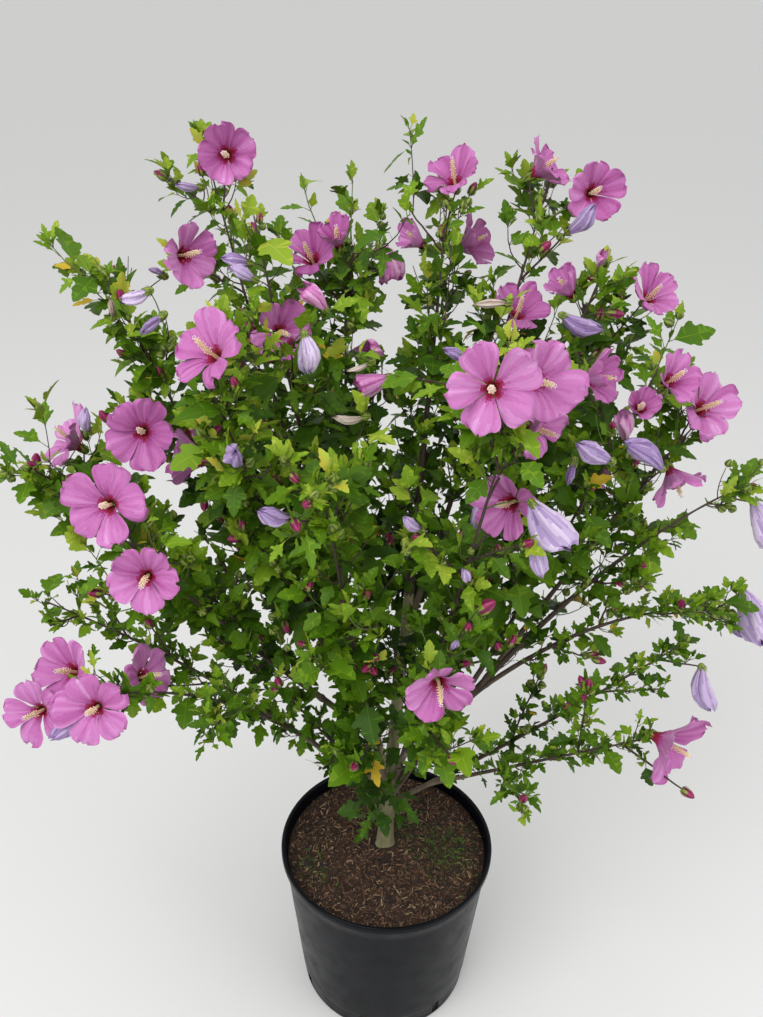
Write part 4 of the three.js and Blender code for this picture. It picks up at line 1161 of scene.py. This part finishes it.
def add_bracts(heap, base, axes, size, count, rng):
    """Narrow green bracts round the foot of a bloom or a bud."""
    for i in range(count):
        turn = i * 2 * math.pi / count + rng.uniform(-BRACT.turn, BRACT.turn)
        out = around(1, turn, 0)
        side = around(1, turn + math.pi / 2, 0) * BRACT.half * size
        foot = out * BRACT.foot * size
        tip = out * BRACT.tip * size + upward(rng.uniform(*BRACT.rise) * size)
        bow = (foot + tip) / 2 + out * BRACT.bow * size
        corners = np.array([foot - side, foot + side, bow + side, bow - side, tip])
        heap.add(base + corners[:4] @ axes, [(0, 1, 2, 3)], SEPAL_EDGE)
        heap.add(base + corners[[3, 2, 4]] @ axes, [(0, 1, 2)], SEPAL_EDGE)


def add_calyx(heap, base, axes, size, rng):
    """Five green lobes that hold the bloom, and the narrow bracts round them."""
    turns = circle(CALYX.columns)
    top = (CALYX.notch + CALYX.lobe * (0.5 + 0.5 * np.cos(5 * turns))) * size
    radius = np.interp(CALYX.rings, CALYX_STEPS, CALYX_RADII) * size * (1 + 0.05 * np.cos(5 * turns))
    local = around(radius, turns, CALYX.rings * top - CALYX.drop)
    row = np.where(np.arange(CALYX.columns) % 4 == 0, SEPAL_EDGE, SEPAL)
    tints = np.tile(row, len(CALYX.rings) - 1)
    heap.add_grid(base + local @ axes, tints)
    add_bracts(heap, base, axes, size, CALYX.bracts, rng)


def add_bud(heap, base, way, length, ripe, rng):
    """A bud: a ribbed green calyx in its bracts, and if ripe the furled magenta petals out of it."""
    axes = bloom_axes(way, rng.uniform(0, 2 * math.pi))
    size = length / (BUD.ripe_length if ripe else BUD.green_length)
    turns = circle(BUD.columns)
    shares = np.linspace(0, 1, BUD.rows)[:, None]
    twist = BUD.twist * shares if ripe else 0
    radius = np.interp(shares, BUD_STEPS, BUD_RADII) * size * (1 + BUD.rib * np.cos(5 * turns + twist))
    local = around(radius, turns, shares * length)
    even = (np.arange(BUD.columns) % 2 == 0) & np.ones((BUD.rows - 1, 1), dtype=bool)
    tints = np.where(even, SEPAL_EDGE, SEPAL)
    if ripe:
        face_share = (np.arange(BUD.rows - 1) + 0.5)[:, None] / (BUD.rows - 1)
        lobes = 0.45 + 0.1 * np.cos(5 * turns + math.pi)
        tints = np.where(face_share > lobes, np.where(even, FURLED_EDGE, FURLED_PETAL), tints)
    heap.add_grid(base + local @ axes, tints)
    add_bracts(heap, base, axes, size * BUD.bract_size, BUD.bracts, rng)


# Widths along a faded bloom, and for each kind its girth as a share of its length
WILTED_STEPS = (0, 0.12, 0.4, 0.65, 0.88, 1)
FURLED = (0.25, 0.5, 0.9, 1.0, 0.6, 0.12)
HUNG = (0.25, 0.5, 0.9, 1.0, 0.86, 0.4)
SLACK = (0.25, 0.42, 0.75, 0.95, 1.05, 0.8)
WILTED_SHAPES = {
    "violet": (0.18, FURLED), "limp": (0.24, HUNG), "pink": (0.25, SLACK), "dry": (0.12, FURLED)}
WILTED = SimpleNamespace(
    rows=18, columns=32, plump=(0.9, 1.1), twist=(1.2, 2.4), fold=0.16, pleat=0.15, crease=0.08,
    bow=0.12, ragged=(-0.2, 0.08), ragged_spots=14, flat=(1.12, 0.85, 1))
WILTED_FOLDS = ((3, 1), (5, 1.7), (12, 2.2))  # how many go round, and how far they wind
# Which tone, and what shifts it: the bloom's own tone, lighter further along it and darker at its tip, with
# painted shade in the pleats and creases and painted light on their ridges
WILTED_TONE_AND_CREASE_SHADE = SimpleNamespace(
    middle=2.2, tone=1.5, usual_tone=0.3, pleat=0.8, crease=0.7, along=0.6, rim=1.2, rim_from=0.9)


def add_wilted(heap, bloom, length, rng):
    """A faded bloom: petals furled round each other, or hanging slack with a torn edge."""
    axes = bloom_axes(bloom.way, rng.uniform(0, 2 * math.pi))
    turns = circle(WILTED.columns)
    shares = np.linspace(0, 1, WILTED.rows)[:, None]
    girth, widths = WILTED_SHAPES[bloom.kind]
    radius = np.interp(shares, WILTED_STEPS, widths) * girth * length * rng.uniform(*WILTED.plump)
    twist = rng.uniform(*WILTED.twist) * rng.choice((-1, 1)) * shares
    fold, pleat, crease = (
        np.cos(count * turns + wind * twist + rng.uniform(0, 6)) for count, wind in WILTED_FOLDS)
    radius = radius * (1 + WILTED.fold * fold + WILTED.pleat * pleat + WILTED.crease * crease)
    bow = rng.uniform(-WILTED.bow, WILTED.bow, 2) * length * np.sin(math.pi * shares)
    edge = np.linspace(0, 2 * math.pi, WILTED.ragged_spots)
    ragged = np.interp(turns, edge, rng.uniform(*WILTED.ragged, WILTED.ragged_spots)) * length
    local = around(radius, turns, shares * length + ragged * shares ** 4) * WILTED.flat
    local[..., :2] += bow[:, None]
    mix = WILTED_TONE_AND_CREASE_SHADE
    # Painted shade: darker where the pleats and creases fold in, lighter on their ridges
    shade = mix.middle + mix.tone * (bloom.tone - mix.usual_tone) + mix.pleat * pleat
    shade = shade + mix.crease * crease + mix.along * np.sin(2.5 * shares)
    shade = (shade - mix.rim * (shares > mix.rim_from))[:-1]
    tones = len(WILTED_TONES[bloom.kind])
    first = tones * list(WILTED_TONES).index(bloom.kind)
    tints = np.clip(np.round(shade), 0, tones - 1).astype(int) + first
    heap.add_grid(bloom.middle + local @ axes, tints)
    return axes


# Wood

TRUNK_FORM = SimpleNamespace(
    rows=90, columns=72, dome_from=0.88, flutes=3, flute=0.12, bark=0.55,
    ring=0.35, ring_step=31, ring_width=2.5)
BOUGH = SimpleNamespace(
    row=4, least_rows=8, columns=18, bark=0.06, collar=0.32, collar_at=0.8, collar_width=9, old_girth=7,
    node=0.5, node_step=43, node_width=3, node_shift=7)
# The tubes inside a mass: rings along, sides, radii, and how uneven they are
STEM_TUBE = SimpleNamespace(rings=26, sides=9, lap=0.004, thinning=0.5, waver=0.25, waver_step=5)
TWIG_TUBE = SimpleNamespace(rings=8, sides=6, radii=(1.8, 1.1), waver=0.9)
SHOOT_TUBE = SimpleNamespace(rings=5, sides=4, radii=(1.15, 0.65), purple=0.6)


def relief(rng, turns, heights, count=14):
    """A bark-like relief between -1 and 1: ridges that run along, broken across."""
    total = np.zeros(np.broadcast(turns, heights).shape)
    for _ in range(count):
        ridges = rng.integers(2, 13) * turns + rng.uniform(0.01, 0.09) * heights
        breaks = 1.5 * np.sin(rng.uniform(0.03, 0.12) * heights + rng.uniform(0, 6))
        total += np.sin(ridges + breaks + rng.uniform(0, 6))
    return total / math.sqrt(count) / 1.6


def add_trunk(heap, rng):
    """The trunk: a fluted foot with a slight flare, bark, faint rings, and a domed head."""
    form = TRUNK_FORM
    share = np.linspace(0, 1, form.rows)[:, None]
    height = share * TRUNK.height
    turns = circle(form.columns)[None]
    flare = TRUNK.flare * np.exp(-height / TRUNK.flare_fade)
    stem = TRUNK.foot_radius + (TRUNK.head_radius - TRUNK.foot_radius) * share
    over = np.maximum(0, (share - form.dome_from) / (1 - form.dome_from))
    dome = np.sqrt(np.maximum(0.03, 1 - over ** 2))
    flutes = 1 + form.flute * np.cos(form.flutes * turns + 1) * (1 - share) ** 3
    radius = (stem + flare) * dome * flutes + form.bark * relief(rng, turns, height)
    radius = radius + form.ring * np.exp(-(height % form.ring_step / form.ring_width) ** 2)
    corners = TRUNK_FOOT + (TRUNK_HEAD - TRUNK_FOOT) * share[..., None] + around(radius, turns, 0)
    heap.add_grid(corners)
    heap.close(form.columns, TRUNK_HEAD)


def add_bough(heap, limb, rng):
    """The bare part of a limb: a collar at its parent, and a swelling at each old leaf."""
    rows = max(BOUGH.least_rows, round(limb.curve.length * limb.bare / BOUGH.row))
    shares = np.linspace(0, limb.bare, rows)
    run = shares[:, None] * limb.curve.length
    turns = circle(BOUGH.columns)[None]
    across = np.cross(limb.curve.along(shares), limb.curve.side)
    collar = np.exp(-((run - limb.parent.girth * BOUGH.collar_at) / BOUGH.collar_width) ** 2)
    nodes = np.exp(-(((run + limb.order * BOUGH.node_shift) % BOUGH.node_step) / BOUGH.node_width) ** 2)
    radius = limb_radius(limb, shares)[:, None] * (1 + BOUGH.collar * collar)
    radius = radius + BOUGH.bark * radius * relief(rng, turns, run) + BOUGH.node * nodes
    corners = (limb.curve.at(shares)[:, None] + limb.curve.side * (radius * np.cos(turns))[..., None]
               + across[:, None] * (radius * np.sin(turns))[..., None])
    heap.add_grid(corners, 0 if limb.girth > BOUGH.old_girth else 1)


def add_wood_of_mass(heap, limb, rng):
    """The stem inside a mass, its twigs, its flowering twigs and its shoots."""
    form = STEM_TUBE
    shares = np.linspace(limb.bare - form.lap, 1, form.rings)
    inside = np.clip((shares - limb.bare) / (1 - limb.bare), 0, 1)
    radii = limb_radius(limb, shares) * (1 - form.thinning * inside)
    radii = radii + form.waver * np.cos(shares * limb.curve.length / form.waver_step)
    add_tube(heap, limb.curve.at(shares), radii, form.sides, BROWN, limb.curve.side)
    form = TWIG_TUBE
    for twig in limb.twigs + flowering_twigs(limb):
        spots = twig.at(np.linspace(0, 1, form.rings))
        spots[1:-1] += rng.uniform(-form.waver, form.waver, (form.rings - 2, 3))
        add_tube(heap, spots, np.linspace(*form.radii, form.rings), form.sides, PURPLE, twig.side)
    form = SHOOT_TUBE
    for shoot in limb.shoots + limb.stalks:
        tint = PURPLE if rng.uniform() < form.purple else GREEN
        spots = shoot.at(np.linspace(0, 1, form.rings))
        add_tube(heap, spots, np.linspace(*form.radii, form.rings), form.sides, tint, shoot.side)


# Pot and soil

POT_COLUMNS = 160
SOIL_ROWS, SOIL_COLUMNS = 56, 144
CHIPS = SimpleNamespace(
    count=7500, reach=166, trunk_room=24, length=(3.0, 1.4), least=2.0, usual=8, width=(0.7, 2.3),
    widths=(0.5, 1.3), thick=(0.4, 1.1), uneven=(0.8, 1.2), rise=(0.0, 1.6), tilt=0.35, roll=0.4,
    chances=(0.24, 0.26, 0.2, 0.15, 0.09, 0.06), moss=(6, 7), moss_share=0.6)
# Where moss grows: how much, its middle and its spread
MOSS = [(1, (105, -5), (42, 48)), (0.7, (-120, -40), (28, 30)), (0.8, (40, 40), (40, 26))]
CHIP = np.array([(-1, -1, -1), (1, -0.6, -1), (1, 0.7, -1), (-1, 1, -1),
                 (-0.9, -0.9, 1), (0.9, -0.5, 0.6), (0.8, 0.6, 0.8), (-0.9, 0.8, 1)]) / 2
CHIP_FACES = np.array([(0, 3, 2, 1), (4, 5, 6, 7), (0, 1, 5, 4), (1, 2, 6, 5), (2, 3, 7, 6), (3, 0, 4, 7)])


def arc(middle, radius, start, stop, count):
    turns = np.radians(np.linspace(start, stop, count))
    return [(middle[0] + radius * math.cos(turn), middle[1] + radius * math.sin(turn)) for turn in turns]


def wall_line(start, stop, count, out):
    """Spots along the tapered wall, so far out from its drawn line."""
    body, top = POT.rim - POT.lip_step, POT.height - POT.lip_height
    shares = np.linspace(start, stop, count)
    return [(POT.foot + (body - POT.foot) * share + out, top * share) for share in shares]


def pot_profile():
    """Radius and height, from the middle of the underside, over the lip, to the middle of the floor."""
    body, lip_foot = POT.rim - POT.lip_step, POT.height - POT.lip_height
    return [
        (POLE, 0), (POT.foot - POT.foot_recess, 0),
        *arc((POT.foot - POT.foot_round, POT.foot_round), POT.foot_round, -90, 0, 6),
        (POT.foot + POT.band, POT.band_low), (POT.foot + POT.band, POT.band_high),
        (POT.foot + POT.step_out, POT.step_high), *wall_line(0.12, 0.985, 14, POT.wall_out),
        *arc((POT.rim - POT.lip_under, lip_foot + POT.lip_under), POT.lip_under, -90, 0, 6),
        *arc((POT.rim - POT.lip_round, POT.height - POT.lip_round), POT.lip_round, 0, 120, 10),
        (body - POT.wall + 2, POT.height - 5), (body - POT.wall, lip_foot - 4),
        *wall_line(0.95, 0.03, 10, -POT.wall), (POLE, POT.floor)]


def make_slot_cutters():
    """A block with rounded corners for each drain slot, through the foot of the wall."""
    cutters = Heap()
    corner = POT.slot_corner
    half, low = POT.slot_width / 2 - corner, POT.slot_rise + corner
    high = POT.slot_rise + POT.slot_height - corner
    across, rise = np.array([
        *arc((half, high), corner, 0, 90, 4), *arc((-half, high), corner, 90, 180, 4),
        *arc((-half, low), corner, 180, 270, 4), *arc((half, low), corner, 270, 360, 4)]).T
    count = len(rise)
    for turn in circle(POT.slots) - math.pi / 2 + POT.slot_turn:
        cosine, sine = math.cos(turn), math.sin(turn)
        ends = [np.stack([depth * cosine - across * sine, depth * sine + across * cosine, rise], axis=1)
                for depth in (POT.foot - POT.slot_depth, POT.foot + POT.slot_depth)]
        cutters.add_grid(np.array(ends))
        cutters.add_faces([np.arange(count)[::-1], np.arange(count, 2 * count)], cutters.count - 2 * count)
    return cutters.mesh("slot_cutters", [])


def make_pot(pot_material):
    """Thin tapered wall with a rolled lip, a foot ring, and drain slots cut through its foot."""
    heap = Heap()
    radii, heights = np.array(pot_profile()).T[..., None]
    heap.add_grid(around(radii, circle(POT_COLUMNS), heights))
    pot = heap.mesh("pot_shell", [pot_material])
    cutters = make_slot_cutters()
    cut = pot.modifiers.new("slots", "BOOLEAN")
    cut.operation = "DIFFERENCE"
    cut.solver = "EXACT"
    cut.object = cutters
    bpy.context.view_layer.objects.active = pot
    bpy.context.view_layer.update()
    graph = bpy.context.evaluated_depsgraph_get()
    shaped = bpy.data.meshes.new_from_object(pot.evaluated_get(graph))
    pot.modifiers.clear()
    pot.data = shaped
    bpy.data.objects.remove(cutters)
    return pot


def soil_height(x, y):
    """Height of the soil: a slight crown, with hollows and humps that fade at the wall."""
    radius = np.hypot(x, y)
    crown = SOIL.top + SOIL.crown * np.clip((SOIL.edge - radius) / (SOIL.edge - SOIL.flat), 0, 1)
    humps = (1.3 * np.sin(x / 17 + 1.2 * np.sin(y / 23)) + 1.1 * np.sin(y / 13 + 0.9 * np.sin(x / 19 + 2))
             + 0.6 * np.sin((x + y) / 6.5) + 0.5 * np.sin((x - 1.3 * y) / 5.1))
    calm = np.clip((SOIL.calm - radius) / SOIL.calm_width, 0, 1)
    return crown - 0.6 + humps * calm * 0.8


def make_soil(soil_material):
    """The filling: its top is uneven, and its side follows the wall."""
    wall_foot = POT.foot - POT.wall - SOIL.gap
    wall_top = POT.rim - POT.lip_step - POT.wall - SOIL.gap
    lip_foot = POT.height - POT.lip_height
    edge = wall_foot + (wall_top - wall_foot) * (SOIL.top - POT.floor) / (lip_foot - POT.floor)
    turns = circle(SOIL_COLUMNS)
    radii = (np.linspace(0.2, 1, SOIL_ROWS) * edge)[::-1, None]
    x, y = radii * np.cos(turns), radii * np.sin(turns)
    low = POT.floor + SOIL.gap
    top = np.stack([x, y, soil_height(x, y)], axis=-1)
    crest = around(POLE, turns, SOIL.top + SOIL.crown)
    corners = np.stack([around(POLE, turns, low), around(wall_foot, turns, low), *top, crest])
    heap = Heap()
    heap.add_grid(corners)
    return heap.mesh("soil_filling", [soil_material])


def make_chips(chip_materials):
    """Bark chips and shreds on the soil, with moss here and there."""
    rng = np.random.default_rng(7)
    radius = CHIPS.reach * np.sqrt(rng.uniform(0.0, 1, CHIPS.count))
    turn = rng.uniform(0, 2 * math.pi, CHIPS.count)
    x, y = radius * np.cos(turn), radius * np.sin(turn)
    clear = np.hypot(x - TRUNK.foot[0], y - TRUNK.foot[1]) > CHIPS.trunk_room
    x, y = x[clear], y[clear]
    count = len(x)
    length = rng.gamma(*CHIPS.length, count) + CHIPS.least
    width = rng.uniform(*CHIPS.width, count) * np.clip(length / CHIPS.usual, *CHIPS.widths)
    thick = rng.uniform(*CHIPS.thick, count)
    heading = rng.uniform(0, 2 * math.pi, count)
    tilt = rng.normal(0, CHIPS.tilt, count)
    ways = around(np.cos(tilt), heading, np.sin(tilt))
    ups = np.stack([*rng.normal(0, CHIPS.roll, (2, count)), np.ones(count)], axis=-1)
    sizes = np.stack([length, width, thick], axis=-1)[:, None]
    local = CHIP[None] * sizes * rng.uniform(*CHIPS.uneven, (count, len(CHIP), 1))
    place = np.stack([x, y, soil_height(x, y) + rng.uniform(*CHIPS.rise, count)], axis=-1)
    moss = sum(much * np.exp(-(((x - middle[0]) / spread[0]) ** 2 + ((y - middle[1]) / spread[1]) ** 2))
               for much, middle, spread in MOSS)
    tint = rng.choice(len(CHIPS.chances), size=count, p=CHIPS.chances)
    mossy = rng.uniform(size=count) < moss * CHIPS.moss_share
    tint = np.where(mossy, rng.choice(CHIPS.moss, size=count), tint)
    heap = Heap()
    corners = local @ frames(ways, ups) + place[:, None]
    heap.add_many(corners, CHIP_FACES, np.repeat(tint[:, None], len(CHIP_FACES), axis=1))
    return heap.mesh("soil_chips", chip_materials, smooth=False)


# The whole plant

SECTORS = {
    "low_left": ("low_left", "low_left_front", "left_front", "fork_left"),
    "left": ("left", "upper_left", "left_inner"),
    "top_left": ("leader_left", "high_left", "high_mid"),
    "top_right": ("leader_right", "high_right", "upper_right"),
    "front": ("front_left", "front_right", "front_low", "fork_right"),
    "low_right": ("low_right", "low_right_front", "right_low"),
    "right": ("right", "right_upper", "right_mid"),
    "back": ("back_left", "back_right", "back_low"),
}
# Buds at the tips: a cluster's chance low down, high up and at a twig's end, and their lengths
CLUSTER = SimpleNamespace(
    high=900, chance_high=0.5, chance_low=0.06, at_twig=0.4, ripe=0.22, step=7, sway=0.35,
    ripe_length=(17, 24), green_length=(11, 16))
OPEN_SIZE = (1.04, 1.16)
CUP_SIZE = 0.75
OPEN_CALYX = SimpleNamespace(down=0.56, gap=2, size=1.0)
WILTED_CALYX = SimpleNamespace(gap=4, size=0.85)
# Name, place, size and power of each light
LIGHTS = [("key_light", (-1.6, -2.0, 3.6), 2.6, 75), ("fill_light", (2.4, -1.2, 2.6), 2.4, 25)]
LIGHTS_AIM = Vector((0, 0.05, 0.85))
FLOOR_RINGS = ((POLE, 0), (2000, 0), (20000, 0), (300000, 16000))  # its far edge hides the horizon
FLOOR_COLUMNS = 96


def dress(piece, slot, *nodes):
    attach(piece, "root")
    if nodes:
        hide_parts(*nodes)
    return piece


def make_foliage():
    """Leaves in one piece and twigs in another for each sector of the crown."""
    large, small = leaf_pattern(LEAF_OUTLINES, 8), leaf_pattern(TUFT_OUTLINES, 4)
    for sector, names in SECTORS.items():
        chosen = [limb for limb in limbs if limb.name in names]
        leaves, wood = Heap(), Heap()
        for limb in chosen:
            rng = np.random.default_rng(500 + limb.order)
            add_leaves(leaves, wood, limb.leaves, large, rng)
            add_leaves(leaves, wood, limb.tufts, small, rng)
            add_wood_of_mass(wood, limb, rng)
        masses = [f"mass_{limb.name}" for limb in chosen]
        dress(leaves.mesh(f"leaves_{sector}", leaf_materials), "foliage", *masses)
        dress(wood.mesh(f"twigs_{sector}", twig_materials), "bark")


def add_bud_clusters(heap, limb, rng):
    """Buds in small clusters at the tips of stem, twigs and shoots, more of them high up."""
    chance = CLUSTER.chance_high if limb.curve.end[2] > CLUSTER.high else CLUSTER.chance_low
    tips = [(curve, 1) for curve in [limb.curve] + limb.twigs] + [(shoot, 0) for shoot in limb.shoots]
    for curve, is_twig in tips:
        if rng.uniform() > chance + CLUSTER.at_twig * is_twig:
            continue
        for k in range(rng.integers(1, 4) + is_twig):
            ripe = rng.uniform() < CLUSTER.ripe
            base = curve.at(1) - curve.along(1) * CLUSTER.step * k
            way = unit(curve.along(1) + rng.uniform(-CLUSTER.sway, CLUSTER.sway, 3) * (1 + 1.5 * k))
            length = rng.uniform(*(CLUSTER.ripe_length if ripe else CLUSTER.green_length))
            if has_room(limb, np.array([base + way * length])).all():
                add_bud(heap, base + way * 2, way, length, ripe, rng)


def make_blooms():
    """Petals, stamen columns, wilted blooms, and the buds with every calyx."""
    petals, hearts, buds, wilted = Heap(), Heap(), Heap(), Heap()
    groups = [(limb.name, limb.blooms + limb.small_blooms) for limb in limbs] + [("small", SMALL)]
    for group, (name, blooms) in enumerate(groups):
        rng = np.random.default_rng(900 + group)
        for bloom in blooms:
            if bloom.stage == "open":
                size = BLOOM.spread / 2 * rng.uniform(*OPEN_SIZE)
                size *= CUP_SIZE if bloom.kind == "cup" else BLOOM_GROWTH.get(name, 1)
                axes = add_petals(petals, bloom, size, rng)
                add_column(hearts, bloom, axes, size, rng)
                base = bloom.middle - bloom.way * (size * OPEN_CALYX.down + OPEN_CALYX.gap)
                add_calyx(buds, base, axes, OPEN_CALYX.size, rng)
            elif bloom.stage == "wilted":
                usual = BLOOM.wilted * rng.uniform(1.0, 1.15)
                axes = add_wilted(wilted, bloom, bloom.length or usual, rng)
                base = bloom.middle - bloom.way * WILTED_CALYX.gap
                add_calyx(buds, base, axes, WILTED_CALYX.size, rng)
            else:
                add_bud(buds, bloom.middle, bloom.way, bloom.length or BLOOM.bud, True, rng)
    for limb in limbs:
        add_bud_clusters(buds, limb, np.random.default_rng(1300 + limb.order))
    dress(petals.mesh("petals", petal_materials), "foliage")
    dress(hearts.mesh("stamen_columns", heart_materials), "foliage")
    dress(buds.mesh("buds", bud_materials), "foliage")
    dress(wilted.mesh("wilted_blooms", wilted_materials), "foliage")


def make_wood():
    """The trunk and the bare boughs."""
    heap = Heap()
    rng = np.random.default_rng(3)
    add_trunk(heap, rng)
    for limb in limbs:
        add_bough(heap, limb, rng)
    dress(heap.mesh("bark", bark_materials), "bark", "trunk", *[f"bough_{limb.name}" for limb in limbs])


def make_container():
    """The pot, its soil, and the chips on that."""
    pot_material = material(
        "pot_plastic", "07090f", 0.34, 0.03, 0.0001,
        tones=("05070c", "07090f", "0a0d14"), specular_ior_level=0.12)
    soil_material = material(
        "soil_dark", "2a1d15", 0.95, 0.006, 0.003, tones=("140e0a", "261a12", "3c291b", "251911"))
    dress(make_pot(pot_material), "pot", "pot")
    dress(make_soil(soil_material), "soil", "soil")
    dress(make_chips(palette("chip", CHIP_TONES, 0.9, 0.003, 0.0006)), "soil")


def add_stage():
    """A pale floor and plain soft studio light."""
    floor = Heap()
    radii, heights = np.array(FLOOR_RINGS).T[..., None]
    floor.add_grid(around(radii, circle(FLOOR_COLUMNS), heights))
    pale = material("floor_pale", "e6e6e5", 0.85, 0.05, 0.0001)
    floor.mesh("floor", [pale])
    world = bpy.data.worlds.new("studio")
    world.use_nodes = True
    set_sockets(world.node_tree.nodes["Background"], color=(0.9, 0.9, 0.9, 1), strength=0.85)
    bpy.context.scene.world = world
    for name, place, size, power in LIGHTS:
        light = bpy.data.lights.new(name, "AREA")
        light.size = size
        light.energy = power
        lamp = bpy.data.objects.new(name, light)
        aim = LIGHTS_AIM - Vector(place)
        lamp.matrix_world = Matrix.Translation(place) @ aim.to_track_quat("-Z", "Y").to_matrix().to_4x4()
        bpy.context.scene.collection.objects.link(lamp)
    bpy.context.scene.view_settings.view_transform = "Standard"


make_foliage()
make_blooms()
make_wood()
make_container()
add_stage()
